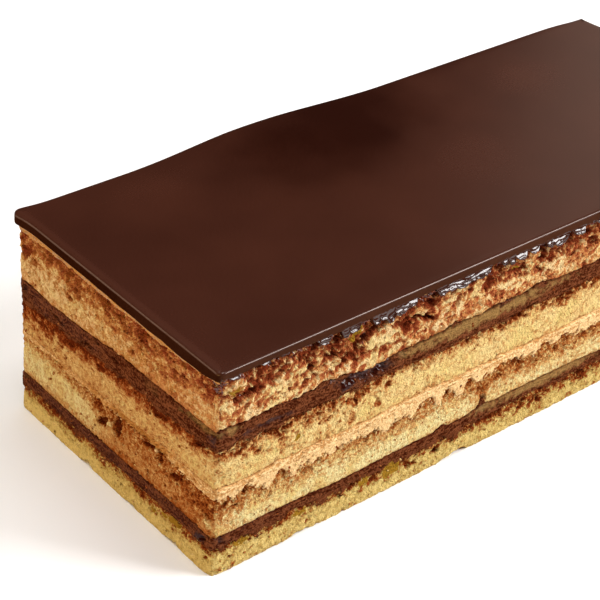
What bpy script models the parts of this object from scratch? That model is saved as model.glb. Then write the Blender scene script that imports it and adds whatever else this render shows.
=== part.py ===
"""Opera cake: a long cut piece of nine layers, from the bottom sponge up to the chocolate glaze.

Metres, +Z up. The origin is the centre of the underside, X runs along the long cut sides and -Y is
the long cut side that faces the viewer. Each layer is a grid raised into a slab by extruding it, then
bent by the functions below: one for the outline seen from above, one for the height of a boundary.
"""

import math

import bmesh
import bpy

NAME = "opera_cake"

# Driving dimensions
LENGTH = 0.142
WIDTH = 0.0598
HEIGHT = 0.042
GAP = 0.0003  # left between two layers that touch
CORNER_RADIUS = 0.0012  # of the glaze, seen from above
BODY_INSET = 0.00028  # how far the cut layers stand back from the edge of the glaze
FOOT_TAPER = 0.0005  # how much further back the cut sides are at the bottom

# The back edge of the glaze bows out round this place and is straight elsewhere
BOW_DEPTH = 0.0016
BOW_CENTRE = -0.0175
BOW_FLAT = 0.004  # half the length of its crown
BOW_REACH = 0.027  # length of each flank

# Cells of the grid that every layer starts from
CELLS_X = 20
CELLS_Y = 9
ARC_SHARE = 2 - math.sqrt(2)  # grid line that lands half way along the quarter of a rounded corner

# Slow waves of a boundary, and of the cut sides
TURN = 2 * math.pi
WAVE_LONG = 0.061
WAVE_SHORT = 0.0235
WAVE_ACROSS = 0.043
SIDE_WAVE = 0.00018

# Boundaries from the underside up: height at the front, rise to the back, wave height, phase
UNDERSIDE, BASE_TOP, LOWER_GANACHE_TOP, THIRD_TOP, COFFEE_TOP = range(5)
SECOND_TOP, UPPER_GANACHE_TOP, FIRST_TOP, CREAM_TOP, GLAZE_TOP = range(5, 10)
BOUNDARIES = {
    UNDERSIDE: (0.0, 0.0, 0.0, 0.0),
    BASE_TOP: (0.0060, -0.0004, 0.00016, 0.4),
    LOWER_GANACHE_TOP: (0.0087, -0.0002, 0.00014, 1.9),
    THIRD_TOP: (0.0162, 0.0002, 0.00015, 3.2),
    COFFEE_TOP: (0.0189, -0.0007, 0.00013, 4.4),
    SECOND_TOP: (0.0270, -0.0019, 0.00020, 5.3),
    UPPER_GANACHE_TOP: (0.0306, -0.0021, 0.00016, 0.9),
    FIRST_TOP: (0.0388, 0.0001, 0.00010, 2.6),
    CREAM_TOP: (0.0399, 0.0, 0.00005, 3.7),
    GLAZE_TOP: (HEIGHT, 0.0, 0.0, 0.0),
}

# Side profiles: (share of the layer's height, extra distance back from the edge), bottom to top
SPONGE_SIDE = ((0.0, 0.00012), (0.5, 0.0), (1.0, 0.00012))
CREAM_SIDE = ((0.0, 0.00008), (0.5, -0.00006), (1.0, 0.00008))
FOOT_SIDE = ((0.0, 0.0008), (0.16, 0.0001), (1.0, 0.0002))
GLAZE_SIDE = ((0.0, 0.0004), (0.22, 0.00006), (0.6, 0.0), (0.88, 0.0002), (1.0, 0.0007))

# Name, lower boundary, side profile, base colour, roughness
LAYERS = (
    ("bottom_sponge", UNDERSIDE, FOOT_SIDE, (0.56, 0.38, 0.13), 0.85),
    ("lower_ganache", BASE_TOP, CREAM_SIDE, (0.062, 0.018, 0.011), 0.45),
    ("third_sponge", LOWER_GANACHE_TOP, SPONGE_SIDE, (0.60, 0.41, 0.16), 0.85),
    ("coffee_buttercream", THIRD_TOP, CREAM_SIDE, (0.72, 0.41, 0.19), 0.5),
    ("second_sponge", COFFEE_TOP, SPONGE_SIDE, (0.62, 0.38, 0.13), 0.85),
    ("upper_ganache", SECOND_TOP, CREAM_SIDE, (0.075, 0.022, 0.012), 0.42),
    ("first_sponge", UPPER_GANACHE_TOP, SPONGE_SIDE, (0.52, 0.25, 0.075), 0.8),
    ("top_buttercream", FIRST_TOP, CREAM_SIDE, (0.60, 0.29, 0.12), 0.5),
    ("chocolate_glaze", CREAM_TOP, GLAZE_SIDE, (0.055, 0.016, 0.010), 0.25),
)


def boundary_height(level, x, y):
    """Plane that rises or falls from front to back, plus three slow waves."""
    front, rise, wave, phase = BOUNDARIES[level]
    towards_back = y / WIDTH + 0.5
    ripple = (
        math.sin(TURN * x / WAVE_LONG + phase)
        + 0.6 * math.sin(TURN * x / WAVE_SHORT + 2.1 * phase)
        + 0.5 * math.cos(TURN * y / WAVE_ACROSS + 1.3 * phase)
    )
    return front + rise * towards_back + wave * ripple


def line_place(index, cells, half):
    """Grid line's coordinate: two narrow cells at each end for the rounded corner, even between."""
    if index > cells - index:
        return -line_place(cells - index, cells, half)
    narrow = (0.0, ARC_SHARE * CORNER_RADIUS, CORNER_RADIUS)
    if index < 2:
        return narrow[index] - half
    inner = half - CORNER_RADIUS
    return inner * (2 * (index - 2) / (cells - 4) - 1)


def rounded(x, y):
    """Turns each corner square of the rectangle into a quarter disc, ring by ring."""
    over_x = abs(x) - (LENGTH / 2 - CORNER_RADIUS)
    over_y = abs(y) - (WIDTH / 2 - CORNER_RADIUS)
    if over_x <= 0 or over_y <= 0:
        return x, y
    shrink = max(over_x, over_y) / math.hypot(over_x, over_y)
    return (
        math.copysign(abs(x) - over_x * (1 - shrink), x),
        math.copysign(abs(y) - over_y * (1 - shrink), y),
    )


def bow_back(x, y):
    """Draws the back half in, except round the bow, where the back edge keeps the full width."""
    away = min(max((abs(x - BOW_CENTRE) - BOW_FLAT) / BOW_REACH, 0.0), 1.0)
    drawn_in = math.sin(away * math.pi / 2) ** 2
    return y - BOW_DEPTH * drawn_in * max(2 * y / WIDTH, 0.0) ** 2


def side_wave(x, y, phase):
    """Unevenness of a cut side, as a distance back from the edge that is never negative."""
    along = math.sin(TURN * (x + 0.7 * y) / WAVE_SHORT + 3 * phase)
    across = math.sin(TURN * (y - 0.4 * x) / WAVE_ACROSS + 5 * phase)
    return SIDE_WAVE * (2 + along + across) / 2


def colour_of(name, colour, roughness):
    """Principled material of one layer."""
    material = bpy.data.materials.new(name)
    material.use_nodes = True
    shader = material.node_tree.nodes["Principled BSDF"]
    shader.inputs["Base Color"].default_value = (*colour, 1.0)
    shader.inputs["Roughness"].default_value = roughness
    shader.inputs["Metallic"].default_value = 0.0
    material.diffuse_color = (*colour, 1.0)
    return material


def raised_grid(steps):
    """Flat grid extruded upwards once for each step of the side; a vertex's z counts the steps."""
    mesh = bmesh.new()
    bmesh.ops.create_grid(mesh, x_segments=CELLS_X, y_segments=CELLS_Y, size=1.0)
    top = list(mesh.faces)
    for step in range(steps):
        raised = bmesh.ops.extrude_face_region(mesh, geom=top, use_keep_orig=step == 0)["geom"]
        if step > 0:
            bmesh.ops.delete(mesh, geom=top, context="FACES")
        top = [item for item in raised if isinstance(item, bmesh.types.BMFace)]
        lifted = [item for item in raised if isinstance(item, bmesh.types.BMVert)]
        bmesh.ops.translate(mesh, verts=lifted, vec=(0.0, 0.0, 1.0))
    return mesh


def layer(collection, lower, name, side, colour, roughness):
    """One slab between two boundaries, its sides cut to the given profile."""
    upper = lower + 1
    gap_below = 0.0 if lower == UNDERSIDE else GAP / 2
    gap_above = 0.0 if upper == GLAZE_TOP else GAP / 2
    is_glaze = upper == GLAZE_TOP
    grid = raised_grid(len(side) - 1)
    for vertex in grid.verts:
        column = round((vertex.co.x + 1) / 2 * CELLS_X)
        row = round((vertex.co.y + 1) / 2 * CELLS_Y)
        share, back = side[round(vertex.co.z)]
        x, y = rounded(
            line_place(column, CELLS_X, LENGTH / 2), line_place(row, CELLS_Y, WIDTH / 2)
        )
        y = bow_back(x, y)
        bottom = boundary_height(lower, x, y) + gap_below
        top = boundary_height(upper, x, y) - gap_above
        z = bottom + share * (top - bottom)
        if not is_glaze:
            back += BODY_INSET + FOOT_TAPER * (1 - z / HEIGHT) + side_wave(x, y, lower)
        vertex.co = (x * (1 - 2 * back / LENGTH), y * (1 - 2 * back / WIDTH), z)
    bmesh.ops.recalc_face_normals(grid, faces=grid.faces)
    data = bpy.data.meshes.new(name)
    grid.to_mesh(data)
    grid.free()
    data.shade_smooth()
    data.set_sharp_from_angle(angle=math.radians(40))
    data.materials.append(colour_of(name, colour, roughness))
    piece = bpy.data.objects.new(name, data)
    collection.objects.link(piece)
    return piece


def main():
    for old in list(bpy.data.objects):
        bpy.data.objects.remove(old, do_unlink=True)
    collection = bpy.data.collections.new(NAME)
    bpy.context.scene.collection.children.link(collection)
    for name, lower, side, colour, roughness in LAYERS:
        layer(collection, lower, name, side, colour, roughness)


main()
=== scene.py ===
"""Opera cake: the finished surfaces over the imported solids, as one panel of operators.

Shapes are worked out in millimetres and written to meshes in metres. Every cut layer is a wall that
runs once round the cake, a grid of places round by heights up, pushed in and out along the outline's
normal, with a lid and a floor. The fields that push it are kept on its points as attributes, and the
materials read them. A place on the cut sides is its walk, measured along the edge from the near left
corner: positive along the front and then the right side, negative along the left side and the back.
"""

import math
from collections import namedtuple
from functools import partial

import bpy
import numpy as np
from bpy.props import FloatProperty, FloatVectorProperty, IntProperty, PointerProperty
from mathutils import Matrix, Vector


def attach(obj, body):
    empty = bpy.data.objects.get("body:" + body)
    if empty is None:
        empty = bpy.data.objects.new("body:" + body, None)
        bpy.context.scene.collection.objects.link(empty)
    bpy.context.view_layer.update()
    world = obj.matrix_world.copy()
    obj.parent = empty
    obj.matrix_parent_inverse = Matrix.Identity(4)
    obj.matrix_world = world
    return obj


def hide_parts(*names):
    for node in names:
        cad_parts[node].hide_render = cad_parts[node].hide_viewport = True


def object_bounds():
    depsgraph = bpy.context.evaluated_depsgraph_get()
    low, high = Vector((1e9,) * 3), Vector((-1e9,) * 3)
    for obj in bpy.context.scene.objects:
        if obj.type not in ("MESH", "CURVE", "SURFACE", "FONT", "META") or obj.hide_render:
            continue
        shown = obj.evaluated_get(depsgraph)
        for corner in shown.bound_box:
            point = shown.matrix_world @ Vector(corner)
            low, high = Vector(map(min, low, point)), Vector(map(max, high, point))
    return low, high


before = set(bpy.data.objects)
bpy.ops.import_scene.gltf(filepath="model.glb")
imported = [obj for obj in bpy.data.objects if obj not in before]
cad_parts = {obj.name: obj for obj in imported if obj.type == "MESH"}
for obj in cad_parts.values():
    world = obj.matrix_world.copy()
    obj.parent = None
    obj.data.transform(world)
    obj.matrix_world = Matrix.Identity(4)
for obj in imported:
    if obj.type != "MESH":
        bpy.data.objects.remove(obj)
CAD_BOX = [list(corner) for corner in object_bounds()]

bl_info = {
    "name": "Opera cake",
    "version": (1, 0, 0),
    "blender": (4, 5, 0),
    "location": "View3D > Sidebar > Cake",
    "description": "Makes a cut piece of opera cake, layer by layer",
    "category": "Object",
}

MM = 0.001
LENGTH, WIDTH, HEIGHT = (np.array(CAD_BOX[1]) - np.array(CAD_BOX[0])) / MM

# Outline of the glaze and set-back of the layers, as in the solids
CORNER_RADIUS, CORNER_POINTS = 1.2, 25
BODY_INSET = 0.28
BOW_DEPTH, BOW_CENTRE, BOW_FLAT, BOW_REACH = 1.6, -17.5, 4.0, 27.0

# Slow waves of the boundaries, as in the solids
TURN = 2 * math.pi
WAVE_LONG, WAVE_SHORT, WAVE_ACROSS = 61.0, 23.5, 43.0

# Boundaries from the underside up to the top of the glaze. As in the solids: height at the front, rise to
# the back, wave height and phase. Then how far the cut edge strays on the long and on the short sides, the
# size of its strays, how deep a seam the cut shows there, and its lumps: walk, rise and reach of each
Boundary = namedtuple("Boundary", "front rise wave phase stray_long stray_short grain seam lumps")
UNDERSIDE, BASE_TOP, LOWER_GANACHE_TOP, THIRD_TOP, COFFEE_TOP = range(5)
SECOND_TOP, UPPER_GANACHE_TOP, FIRST_TOP, CREAM_TOP = range(5, 9)
BOUNDARIES = (
    Boundary(
        0, 0, 0, 0, 0.2, 0.34, 3, 0.12,
        ((55, 0.8, 2.6), (57, 0.5, 1), (19, 0.4, 2.5), (-36.5, 1.2, 1.4), (-24, 0.4, 1.5), (-11, 0.5, 2)),
    ),
    Boundary(6, -0.4, 0.16, 0.4, 0.1, 0.1, 3.5, 0.05, ((16.5, 0.4, 1.6), (39.5, 0.3, 1.5), (-48, 0.4, 10))),
    Boundary(
        8.7, -0.2, 0.14, 1.9, 0.08, 0.08, 4, 0.2,
        ((50.8, 0.8, 1.2), (60.6, 1.7, 0.7), (60.6, 0.6, 1.8), (75, 0.6, 12), (25, -0.25, 14)),
    ),
    Boundary(16.2, 0.2, 0.15, 3.2, 0.12, 0.1, 3, 0, ((-22, 0.6, 8),)),
    Boundary(
        18.9, -0.7, 0.13, 4.4, 0.1, 0.12, 5, 0.22,
        ((12.5, 0.6, 0.9), (46, 0.9, 0.7), (63.6, 0.8, 0.9), (33, -0.2, 4), (-58, -0.5, 25)),
    ),
    Boundary(
        27, -1.9, 0.2, 5.3, 0.1, 0.12, 3, 0.08,
        ((4.2, 0.6, 1.2), (31, -0.4, 4), (70.5, 0.9, 3), (-39, 0.3, 1.5)),
    ),
    Boundary(
        30.6, -2.1, 0.16, 0.9, 0.1, 0.06, 4, 0.25,
        (
            (12, 0.6, 1.6), (15.5, -0.4, 1.2), (21.7, 0.6, 1.6), (25.5, 0.4, 1), (31.5, -0.9, 3.6),
            (50.8, 1.2, 0.8), (53, 0.4, 3), (62, 0.5, 4), (72, 0.9, 2.4), (-55.5, 0.35, 4),
            (-49, -0.3, 4.5), (-40, -0.2, 7), (-25, 0.25, 5),
        ),
    ),
    Boundary(
        38.8, 0.1, 0.1, 2.6, 0.25, 0.34, 1.8, 0.1,
        ((-57, -0.3, 3), (-17, -0.4, 2.5), (-2, 0.6, 4), (9, 0.6, 8)),
    ),
    Boundary(39.9, 0, 0.05, 3.7, 0.05, 0.04, 5, 0.15, ((9, 0.45, 9),)),
    Boundary(HEIGHT, 0, 0, 0, 0, 0, 1, 0, ()),
)
THINNEST = 0.12  # least height of a layer at the cut side
LEVEL_APART = 50.0  # from the noise that makes one boundary stray to that of the next

# How far each boundary sags at the cut, by level: on the front, on the left and elsewhere
SAGS = (
    (0, 0, 0), (0.1, 0.3, 0.2), (0.5, 0.45, 0.4), (0.1, 0.4, 0.2), (0.35, 0.4, 0.3), (0.15, 0.2, 0.2),
    (0.3, 0.5, 0.3), (0, 0.2, 0), (0, 0, 0), (0, 0, 0),
)


def srgb(red, green, blue):
    """Linear colour of a screen colour given from 0 to 255, by the 2.4 power curve with its toe."""
    share = np.array([red, green, blue]) / 255
    linear = np.where(share > 0.04045, ((share + 0.055) / 1.055) ** 2.4, share / 12.92)
    return tuple(linear.tolist())


# ---- random fields


def lattice(cells, seed):
    """Random whole number from 0 to 2^32 for each cell: its three indices times primes, mixed."""
    mixed = np.full(cells.shape[:-1], seed * 0x9E3779B1 & 0xFFFFFFFF, np.uint32)
    for axis, prime in enumerate((0x8DA6B343, 0xD8163841, 0xCB1AB31F)):
        mixed = mixed ^ (cells[..., axis] * prime & 0xFFFFFFFF).astype(np.uint32)
        mixed = (mixed ^ mixed >> 15) * np.uint32(0x2C1B3C6D)
    return mixed ^ mixed >> 13


def draws(cells, seed, count):
    """That many random numbers from 0 to 1 for each cell."""
    return [lattice(cells, seed + 31 * turn) / 2**32 for turn in range(count)]


SLOPES = np.random.default_rng(7).normal(size=(256, 3))
SLOPES /= np.linalg.norm(SLOPES, axis=1, keepdims=True)


def noise(points, size, seed=0):
    """Gradient noise from about -1 to 1: slopes at the corners of a cubic lattice of the given size,
    blended with the weights 6t^5 - 15t^4 + 10t^3."""
    scaled = points / size
    cell = np.floor(scaled).astype(np.int64)
    part = scaled - cell
    blend = part**3 * (part * (part * 6 - 15) + 10)
    total = np.zeros(points.shape[:-1])
    for corner in np.ndindex(2, 2, 2):
        slope = SLOPES[lattice(cell + corner, seed) & 255]
        weight = np.prod(np.where(np.array(corner) == 1, blend, 1 - blend), axis=-1)
        total += weight * np.einsum("...k,...k->...", slope, part - corner)
    return total * 1.6


def cloud(points, size, octaves=4, seed=0, fade=0.55):
    """Sum of noises, each half the size and fade times the height of the one before."""
    total, height = 0.0, 1.0
    for octave in range(octaves):
        total = total + height * noise(points, size / 2**octave, seed + 17 * octave)
        height *= fade
    return total


def billows(points, size, seed=0):
    """Torn crumb: the sum of the absolute values of three noises, each half the size and 0.55 times the
    height of the one before. It is 0 along thin ridges and about 0.5 on average."""
    return sum(0.55**turn * abs(noise(points, size / 2**turn, seed + 19 * turn)) for turn in range(3))


def centres(points, size, seed, count):
    """For each of the eight lattice cells round a point: its distance from the random centre there, in
    cells, and the further random numbers of that cell. Centres lie within a quarter cell of the middle."""
    scaled = points / size
    home = np.floor(scaled - 0.5).astype(np.int64)
    for corner in np.ndindex(2, 2, 2):
        here = home + corner
        numbers = draws(here, seed, 3 + count)
        centre = here + 0.25 + 0.5 * np.stack(numbers[:3], axis=-1)
        yield np.linalg.norm(scaled - centre, axis=-1), numbers[3:]


def bubbles(points, size, share, seed=0):
    """How deep a cut opens the bubbles of a crumb, in the points' own unit. A share of the cells hold a
    ball of 0.15 to 0.5 cells radius; the depth is radius times 1 - (distance / radius)^2."""
    deepest = np.zeros(points.shape[:-1])
    for away, (size_draw, kept) in centres(points, size, seed, 2):
        radius = 0.15 + 0.35 * size_draw
        depth = np.where(kept < share, radius * (1 - (away / radius) ** 2), 0.0)
        deepest = np.maximum(deepest, depth)
    return deepest * size


def cells(points, size, seed=0):
    """Cells of a torn crumb: how far a point is inside the wall of its cell, which is half the
    difference of its distances from the two nearest centres, and the random number of its cell."""
    nearest = np.full(points.shape[:-1], np.inf)
    second = nearest.copy()
    owner = np.zeros(points.shape[:-1])
    for away, (number,) in centres(points, size, seed, 1):
        closer = away < nearest
        second = np.where(closer, nearest, np.minimum(second, away))
        owner = np.where(closer, number, owner)
        nearest = np.where(closer, away, nearest)
    return (second - nearest) * size / 2, owner


def unit(value):
    """Value kept from 0 to 1."""
    return np.clip(value, 0, 1)


def smooth(low, high, value):
    """0 at low, 1 at high, and 3t^2 - 2t^3 between."""
    part = unit((value - low) / (high - low))
    return part * part * (3 - 2 * part)


def hump(along, centre, reach):
    """Bell of height 1: the exponential of minus the square of distance over reach."""
    return np.exp(-(((along - centre) / reach) ** 2))


# ---- outline and boundaries


def bowed(x, y):
    """Back half drawn in by BOW_DEPTH times the square of its share of the width, except round the
    bow, whose flanks follow a squared sine."""
    away = unit((abs(x - BOW_CENTRE) - BOW_FLAT) / BOW_REACH)
    return y - BOW_DEPTH * np.sin(away * math.pi / 2) ** 2 * np.maximum(2 * y / WIDTH, 0.0) ** 2


def outline(columns):
    """Edge of the glaze seen from above, its outward normals and its walks, in equal steps
    anticlockwise from the back right corner: four quarter circles joined by lines, the back one bowed."""
    middle = np.array([LENGTH, WIDTH]) / 2 - CORNER_RADIUS
    quarter = np.linspace(0, math.pi / 2, CORNER_POINTS)
    path = []
    for turn, sign in enumerate(((1, 1), (-1, 1), (-1, -1), (1, -1))):
        angle = quarter + turn * math.pi / 2
        arc = np.column_stack([np.cos(angle), np.sin(angle)])
        path.append(middle * sign + CORNER_RADIUS * arc)
    path = np.vstack([*path, path[0][:1]])
    walked = np.r_[0.0, np.cumsum(np.linalg.norm(np.diff(path, axis=0), axis=1))]
    steps = np.arange(columns) / columns * walked[-1]
    x, y = (np.interp(steps, walked, path[:, axis]) for axis in (0, 1))
    edge = np.column_stack([x, bowed(x, y)])
    ahead = np.roll(edge, -1, axis=0) - np.roll(edge, 1, axis=0)
    normal = np.column_stack([ahead[:, 1], -ahead[:, 0]])
    near_left = int(np.argmin(edge.sum(axis=1)))
    return edge, normal / np.linalg.norm(normal, axis=1, keepdims=True), steps - steps[near_left]


COLUMNS = 2000
EDGE, NORMAL, WALK = outline(COLUMNS)
# How far each column belongs to a side, from 0 to 1
FRONT = smooth(0.55, 0.9, -NORMAL[:, 1])
LEFT = smooth(0.55, 0.9, -NORMAL[:, 0])
BACK = smooth(0.55, 0.9, NORMAL[:, 1])
LONG = FRONT + BACK


def edge_at(z):
    """Places on the edge of the glaze, at one height or at one for each column."""
    return np.column_stack([EDGE, np.broadcast_to(z, COLUMNS)])


def knots(*rows):
    """Values at every column, straight between the given rows of a walk and one or more values."""
    places, *columns = zip(*rows)
    return [np.interp(WALK, places, values) for values in columns]


def by_side(front, left, other):
    """Value at every column that is one number on the front, one on the left side and one elsewhere."""
    return other + (front - other) * FRONT + (left - other) * LEFT


def slow_height(level, x, y):
    """Height of a boundary inside the cake: a sloping plane plus three slow waves."""
    b = BOUNDARIES[level]
    ripple = (
        np.sin(TURN * x / WAVE_LONG + b.phase)
        + 0.6 * np.sin(TURN * x / WAVE_SHORT + 2.1 * b.phase)
        + 0.5 * np.cos(TURN * y / WAVE_ACROSS + 1.3 * b.phase)
    )
    return b.front + b.rise * (y / WIDTH + 0.5) + b.wave * ripple


def cut_edges():
    """Height of every boundary where it meets the cut sides, one row of COLUMNS for each: the slow
    height less the sag, plus a cloud that makes it stray, plus its lumps, which are bells."""
    rows = []
    for level, b in enumerate(BOUNDARIES):
        height = slow_height(level, *EDGE.T) - by_side(*SAGS[level])
        stray = b.stray_short + (b.stray_long - b.stray_short) * LONG
        height += cloud(edge_at(LEVEL_APART * level), b.grain, 4, level, 0.6) * stray
        for walk, rise, reach in b.lumps:
            height += rise * hump(WALK, walk, reach)
        rows.append(height)
    rows = np.array(rows)
    rows[UNDERSIDE] = np.maximum(rows[UNDERSIDE], 0.0)
    # on the long sides the crust reaches the glaze and hides the top cream
    rows[FIRST_TOP] += 0.1 + 1.3 * LONG
    rows[CREAM_TOP] += 0.7 * LONG
    # the layers above hang over these two as a ragged coat, so the seams themselves lie higher
    rows[THIRD_TOP] += 1.0 - 0.6 * LEFT
    rows[BASE_TOP] += 0.4
    for level in range(1, len(rows)):
        rows[level] = np.maximum(rows[level], rows[level - 1] + THINNEST)
    return rows


CUT = cut_edges()


# ---- meshes


def place_object(name, data):
    """New object in the scene's collection."""
    made = bpy.data.objects.new(name, data)
    bpy.context.scene.collection.objects.link(made)
    return made


def new_object(name, points, faces, attributes):
    """Mesh object from points in millimetres and arrays of triangles and quads, with float attributes
    on its points."""
    mesh = bpy.data.meshes.new(name)
    mesh.vertices.add(len(points))
    mesh.vertices.foreach_set("co", np.ascontiguousarray(points * MM, np.float32).ravel())
    sizes = np.concatenate([np.full(len(block), block.shape[1]) for block in faces])
    corners = np.concatenate([block.ravel() for block in faces])
    mesh.loops.add(len(corners))
    mesh.loops.foreach_set("vertex_index", corners.astype(np.int32))
    mesh.polygons.add(len(sizes))
    mesh.polygons.foreach_set("loop_start", (np.cumsum(sizes) - sizes).astype(np.int32))
    mesh.update(calc_edges=True)
    mesh.validate()
    for key, values in attributes.items():
        stored = mesh.attributes.new(key, "FLOAT", "POINT")
        stored.data.foreach_set("value", np.ascontiguousarray(values, np.float32).ravel())
    mesh.shade_smooth()
    return place_object(name, mesh)


def grid_faces(rows, columns, first=0):
    """Quads of a grid whose columns close into a ring, outward when columns run anticlockwise."""
    row, column = np.meshgrid(np.arange(rows - 1), np.arange(columns), indexing="ij")
    here = first + row * columns + column
    beside = first + row * columns + (column + 1) % columns
    quads = np.stack([here, beside, beside + columns, here + columns], axis=-1)
    return quads.reshape(-1, 4)


def bridge_faces(ring, columns, inner, inner_columns, upward):
    """Lid between a fine ring and a coarser ring inside it: one triangle for each step of the fine
    ring to its coarse point, and one for each step of the coarse ring."""
    step = columns // inner_columns
    fine = np.arange(columns)
    coarse = np.arange(inner_columns)
    following = (coarse + 1) % inner_columns
    faces = np.concatenate([
        np.column_stack([ring + fine, ring + (fine + 1) % columns, inner + fine // step]),
        np.column_stack([ring + following * step, inner + following, inner + coarse]),
    ])
    return faces if upward else faces[:, ::-1]


def fan_faces(ring, columns, hub, upward):
    """Triangles from a ring to the hub in its middle."""
    here = np.arange(columns)
    faces = np.column_stack([ring + here, ring + (here + 1) % columns, np.full(columns, hub)])
    return faces if upward else faces[:, ::-1]


def inner_edge(inset, count):
    """Ring of that many points inside the outline, which is shrunk along X and along Y by the inset."""
    pick = np.arange(0, COLUMNS, COLUMNS // count)
    return EDGE[pick] * (1 - 2 * inset / np.array([LENGTH, WIDTH]))


INNER_COLUMNS = 200
CAP_INSET = 3.0  # from the cut side to the coarse ring of a lid


def lid_points(level):
    """Coarse ring of a lid at one boundary, and its hub."""
    inner = np.vstack([inner_edge(CAP_INSET, INNER_COLUMNS), [[0.0, 0.0]]])
    return np.column_stack([inner, slow_height(level, *inner.T)])


def slab(name, wall, lower, attributes):
    """Closed slab: the wall, a grid of heights by columns, with a floor at boundary lower and a lid at
    the next boundary."""
    rows = len(wall)
    points = np.vstack([wall.reshape(-1, 3), lid_points(lower), lid_points(lower + 1)])
    top_ring = (rows - 1) * COLUMNS
    floor = rows * COLUMNS
    lid = floor + INNER_COLUMNS + 1
    faces = [
        grid_faces(rows, COLUMNS),
        bridge_faces(0, COLUMNS, floor, INNER_COLUMNS, False),
        fan_faces(floor, INNER_COLUMNS, floor + INNER_COLUMNS, False),
        bridge_faces(top_ring, COLUMNS, lid, INNER_COLUMNS, True),
        fan_faces(lid, INNER_COLUMNS, lid + INNER_COLUMNS, True),
    ]
    spare = np.zeros(len(points) - floor)
    padded = {key: np.r_[values.ravel(), spare] for key, values in attributes.items()}
    return new_object(name, points, faces, padded)


# ---- the cut side

FOOT_FLARE = 0.45  # how much further out the left side stands at its foot
ROUNDED = 0.8 * hump(abs(WALK), 199.5, 6.0)  # how far the back right corner is worn in
SEAM_ROWS = 0.9  # rows over which a seam dies away
SEAM_LESS_LEFT = 0.65  # part of a seam's depth that the left side lacks


def plain_wall(lower, rows):
    """Places on the plain cut side between a boundary and the next: even steps of height, set back from
    the edge of the glaze by the inset, less a flare at the foot that falls off with the third power."""
    share = np.linspace(0.0, 1.0, rows)[:, None]
    z = CUT[lower] + share * (CUT[lower + 1] - CUT[lower])
    back = BODY_INSET + ROUNDED - FOOT_FLARE * LEFT * (1 - z / HEIGHT) ** 3
    place = EDGE - back[..., None] * NORMAL
    return np.dstack([place, z])


def pushed(wall, outward):
    """Wall moved along the outline's normal by outward, in millimetres."""
    moved = wall.copy()
    moved[..., :2] += outward[..., None] * NORMAL
    return moved


def seams(lower, rows):
    """How far the rows near the foot and the top of a wall are drawn in, so that a dark seam shows
    between layers: the seam's depth, less on the left, times the exponential of minus the number of
    rows from it over SEAM_ROWS. The walls also add it to their colour, as painted shade in the crease."""
    row = np.arange(rows)[:, None]
    foot = BOUNDARIES[lower].seam * np.exp(-row / SEAM_ROWS)
    top = BOUNDARIES[lower + 1].seam * np.exp(-(rows - 1 - row) / SEAM_ROWS)
    return (foot + top) * (1 - SEAM_LESS_LEFT * LEFT)


def knife(points):
    """Unevenness of the whole cut, shared by all layers: slow swells of 0.2 mm."""
    return 0.12 * noise(points, 19.0, seed=300) + 0.08 * noise(points, 6.0, seed=301)


def warped(points, size, amount, seed):
    """Points moved by noise in all three directions."""
    moved = points.copy()
    for axis in range(3):
        moved[..., axis] += amount * noise(points, size, seed + axis)
    return moved


def lean(points, slope, flat):
    """Points sheared so that level marks on the long sides climb by slope towards +X, then stretched
    upwards, which makes every mark flatter."""
    moved = points.copy()
    moved[..., 2] = flat * (moved[..., 2] - slope * points[..., 0])
    return moved


# A mark on a cut side: walk and height of its middle, half its length and half its height, how much it
# adds to the browning, the depth and the wetness there, and how steeply it climbs. On sponge, a wetness
# below zero is an amber spot, where egg and syrup gathered
Mark = namedtuple("Mark", "walk z length height brown deep wet slope", defaults=(0, 0, 0))


def patches(wall, seed, marks, sharp=0.7):
    """Sums of the marks on a wall: browning, depth and wetness of each, times the smooth edge of an
    ellipse whose rim a cloud makes ragged. The edge begins at sharp times the ellipse."""
    ragged = cloud(wall, 1.3, 3, seed)
    sideways = 0.6 * noise(wall, 1.7, seed + 1)
    upwards = 0.4 * noise(wall, 1.4, seed + 2)
    brown, deep, wet = (np.zeros(wall.shape[:2]) for _ in range(3))
    for mark in (Mark(*row) for row in marks):
        along = WALK - mark.walk + sideways
        up = wall[..., 2] - mark.z - mark.slope * along + upwards
        away = np.sqrt((along / mark.length) ** 2 + (up / mark.height) ** 2)
        inside = smooth(1.85 - sharp, sharp, away + 0.5 * ragged)
        brown += mark.brown * inside
        deep += mark.deep * inside
        wet += mark.wet * inside
    return brown, deep, wet
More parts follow.
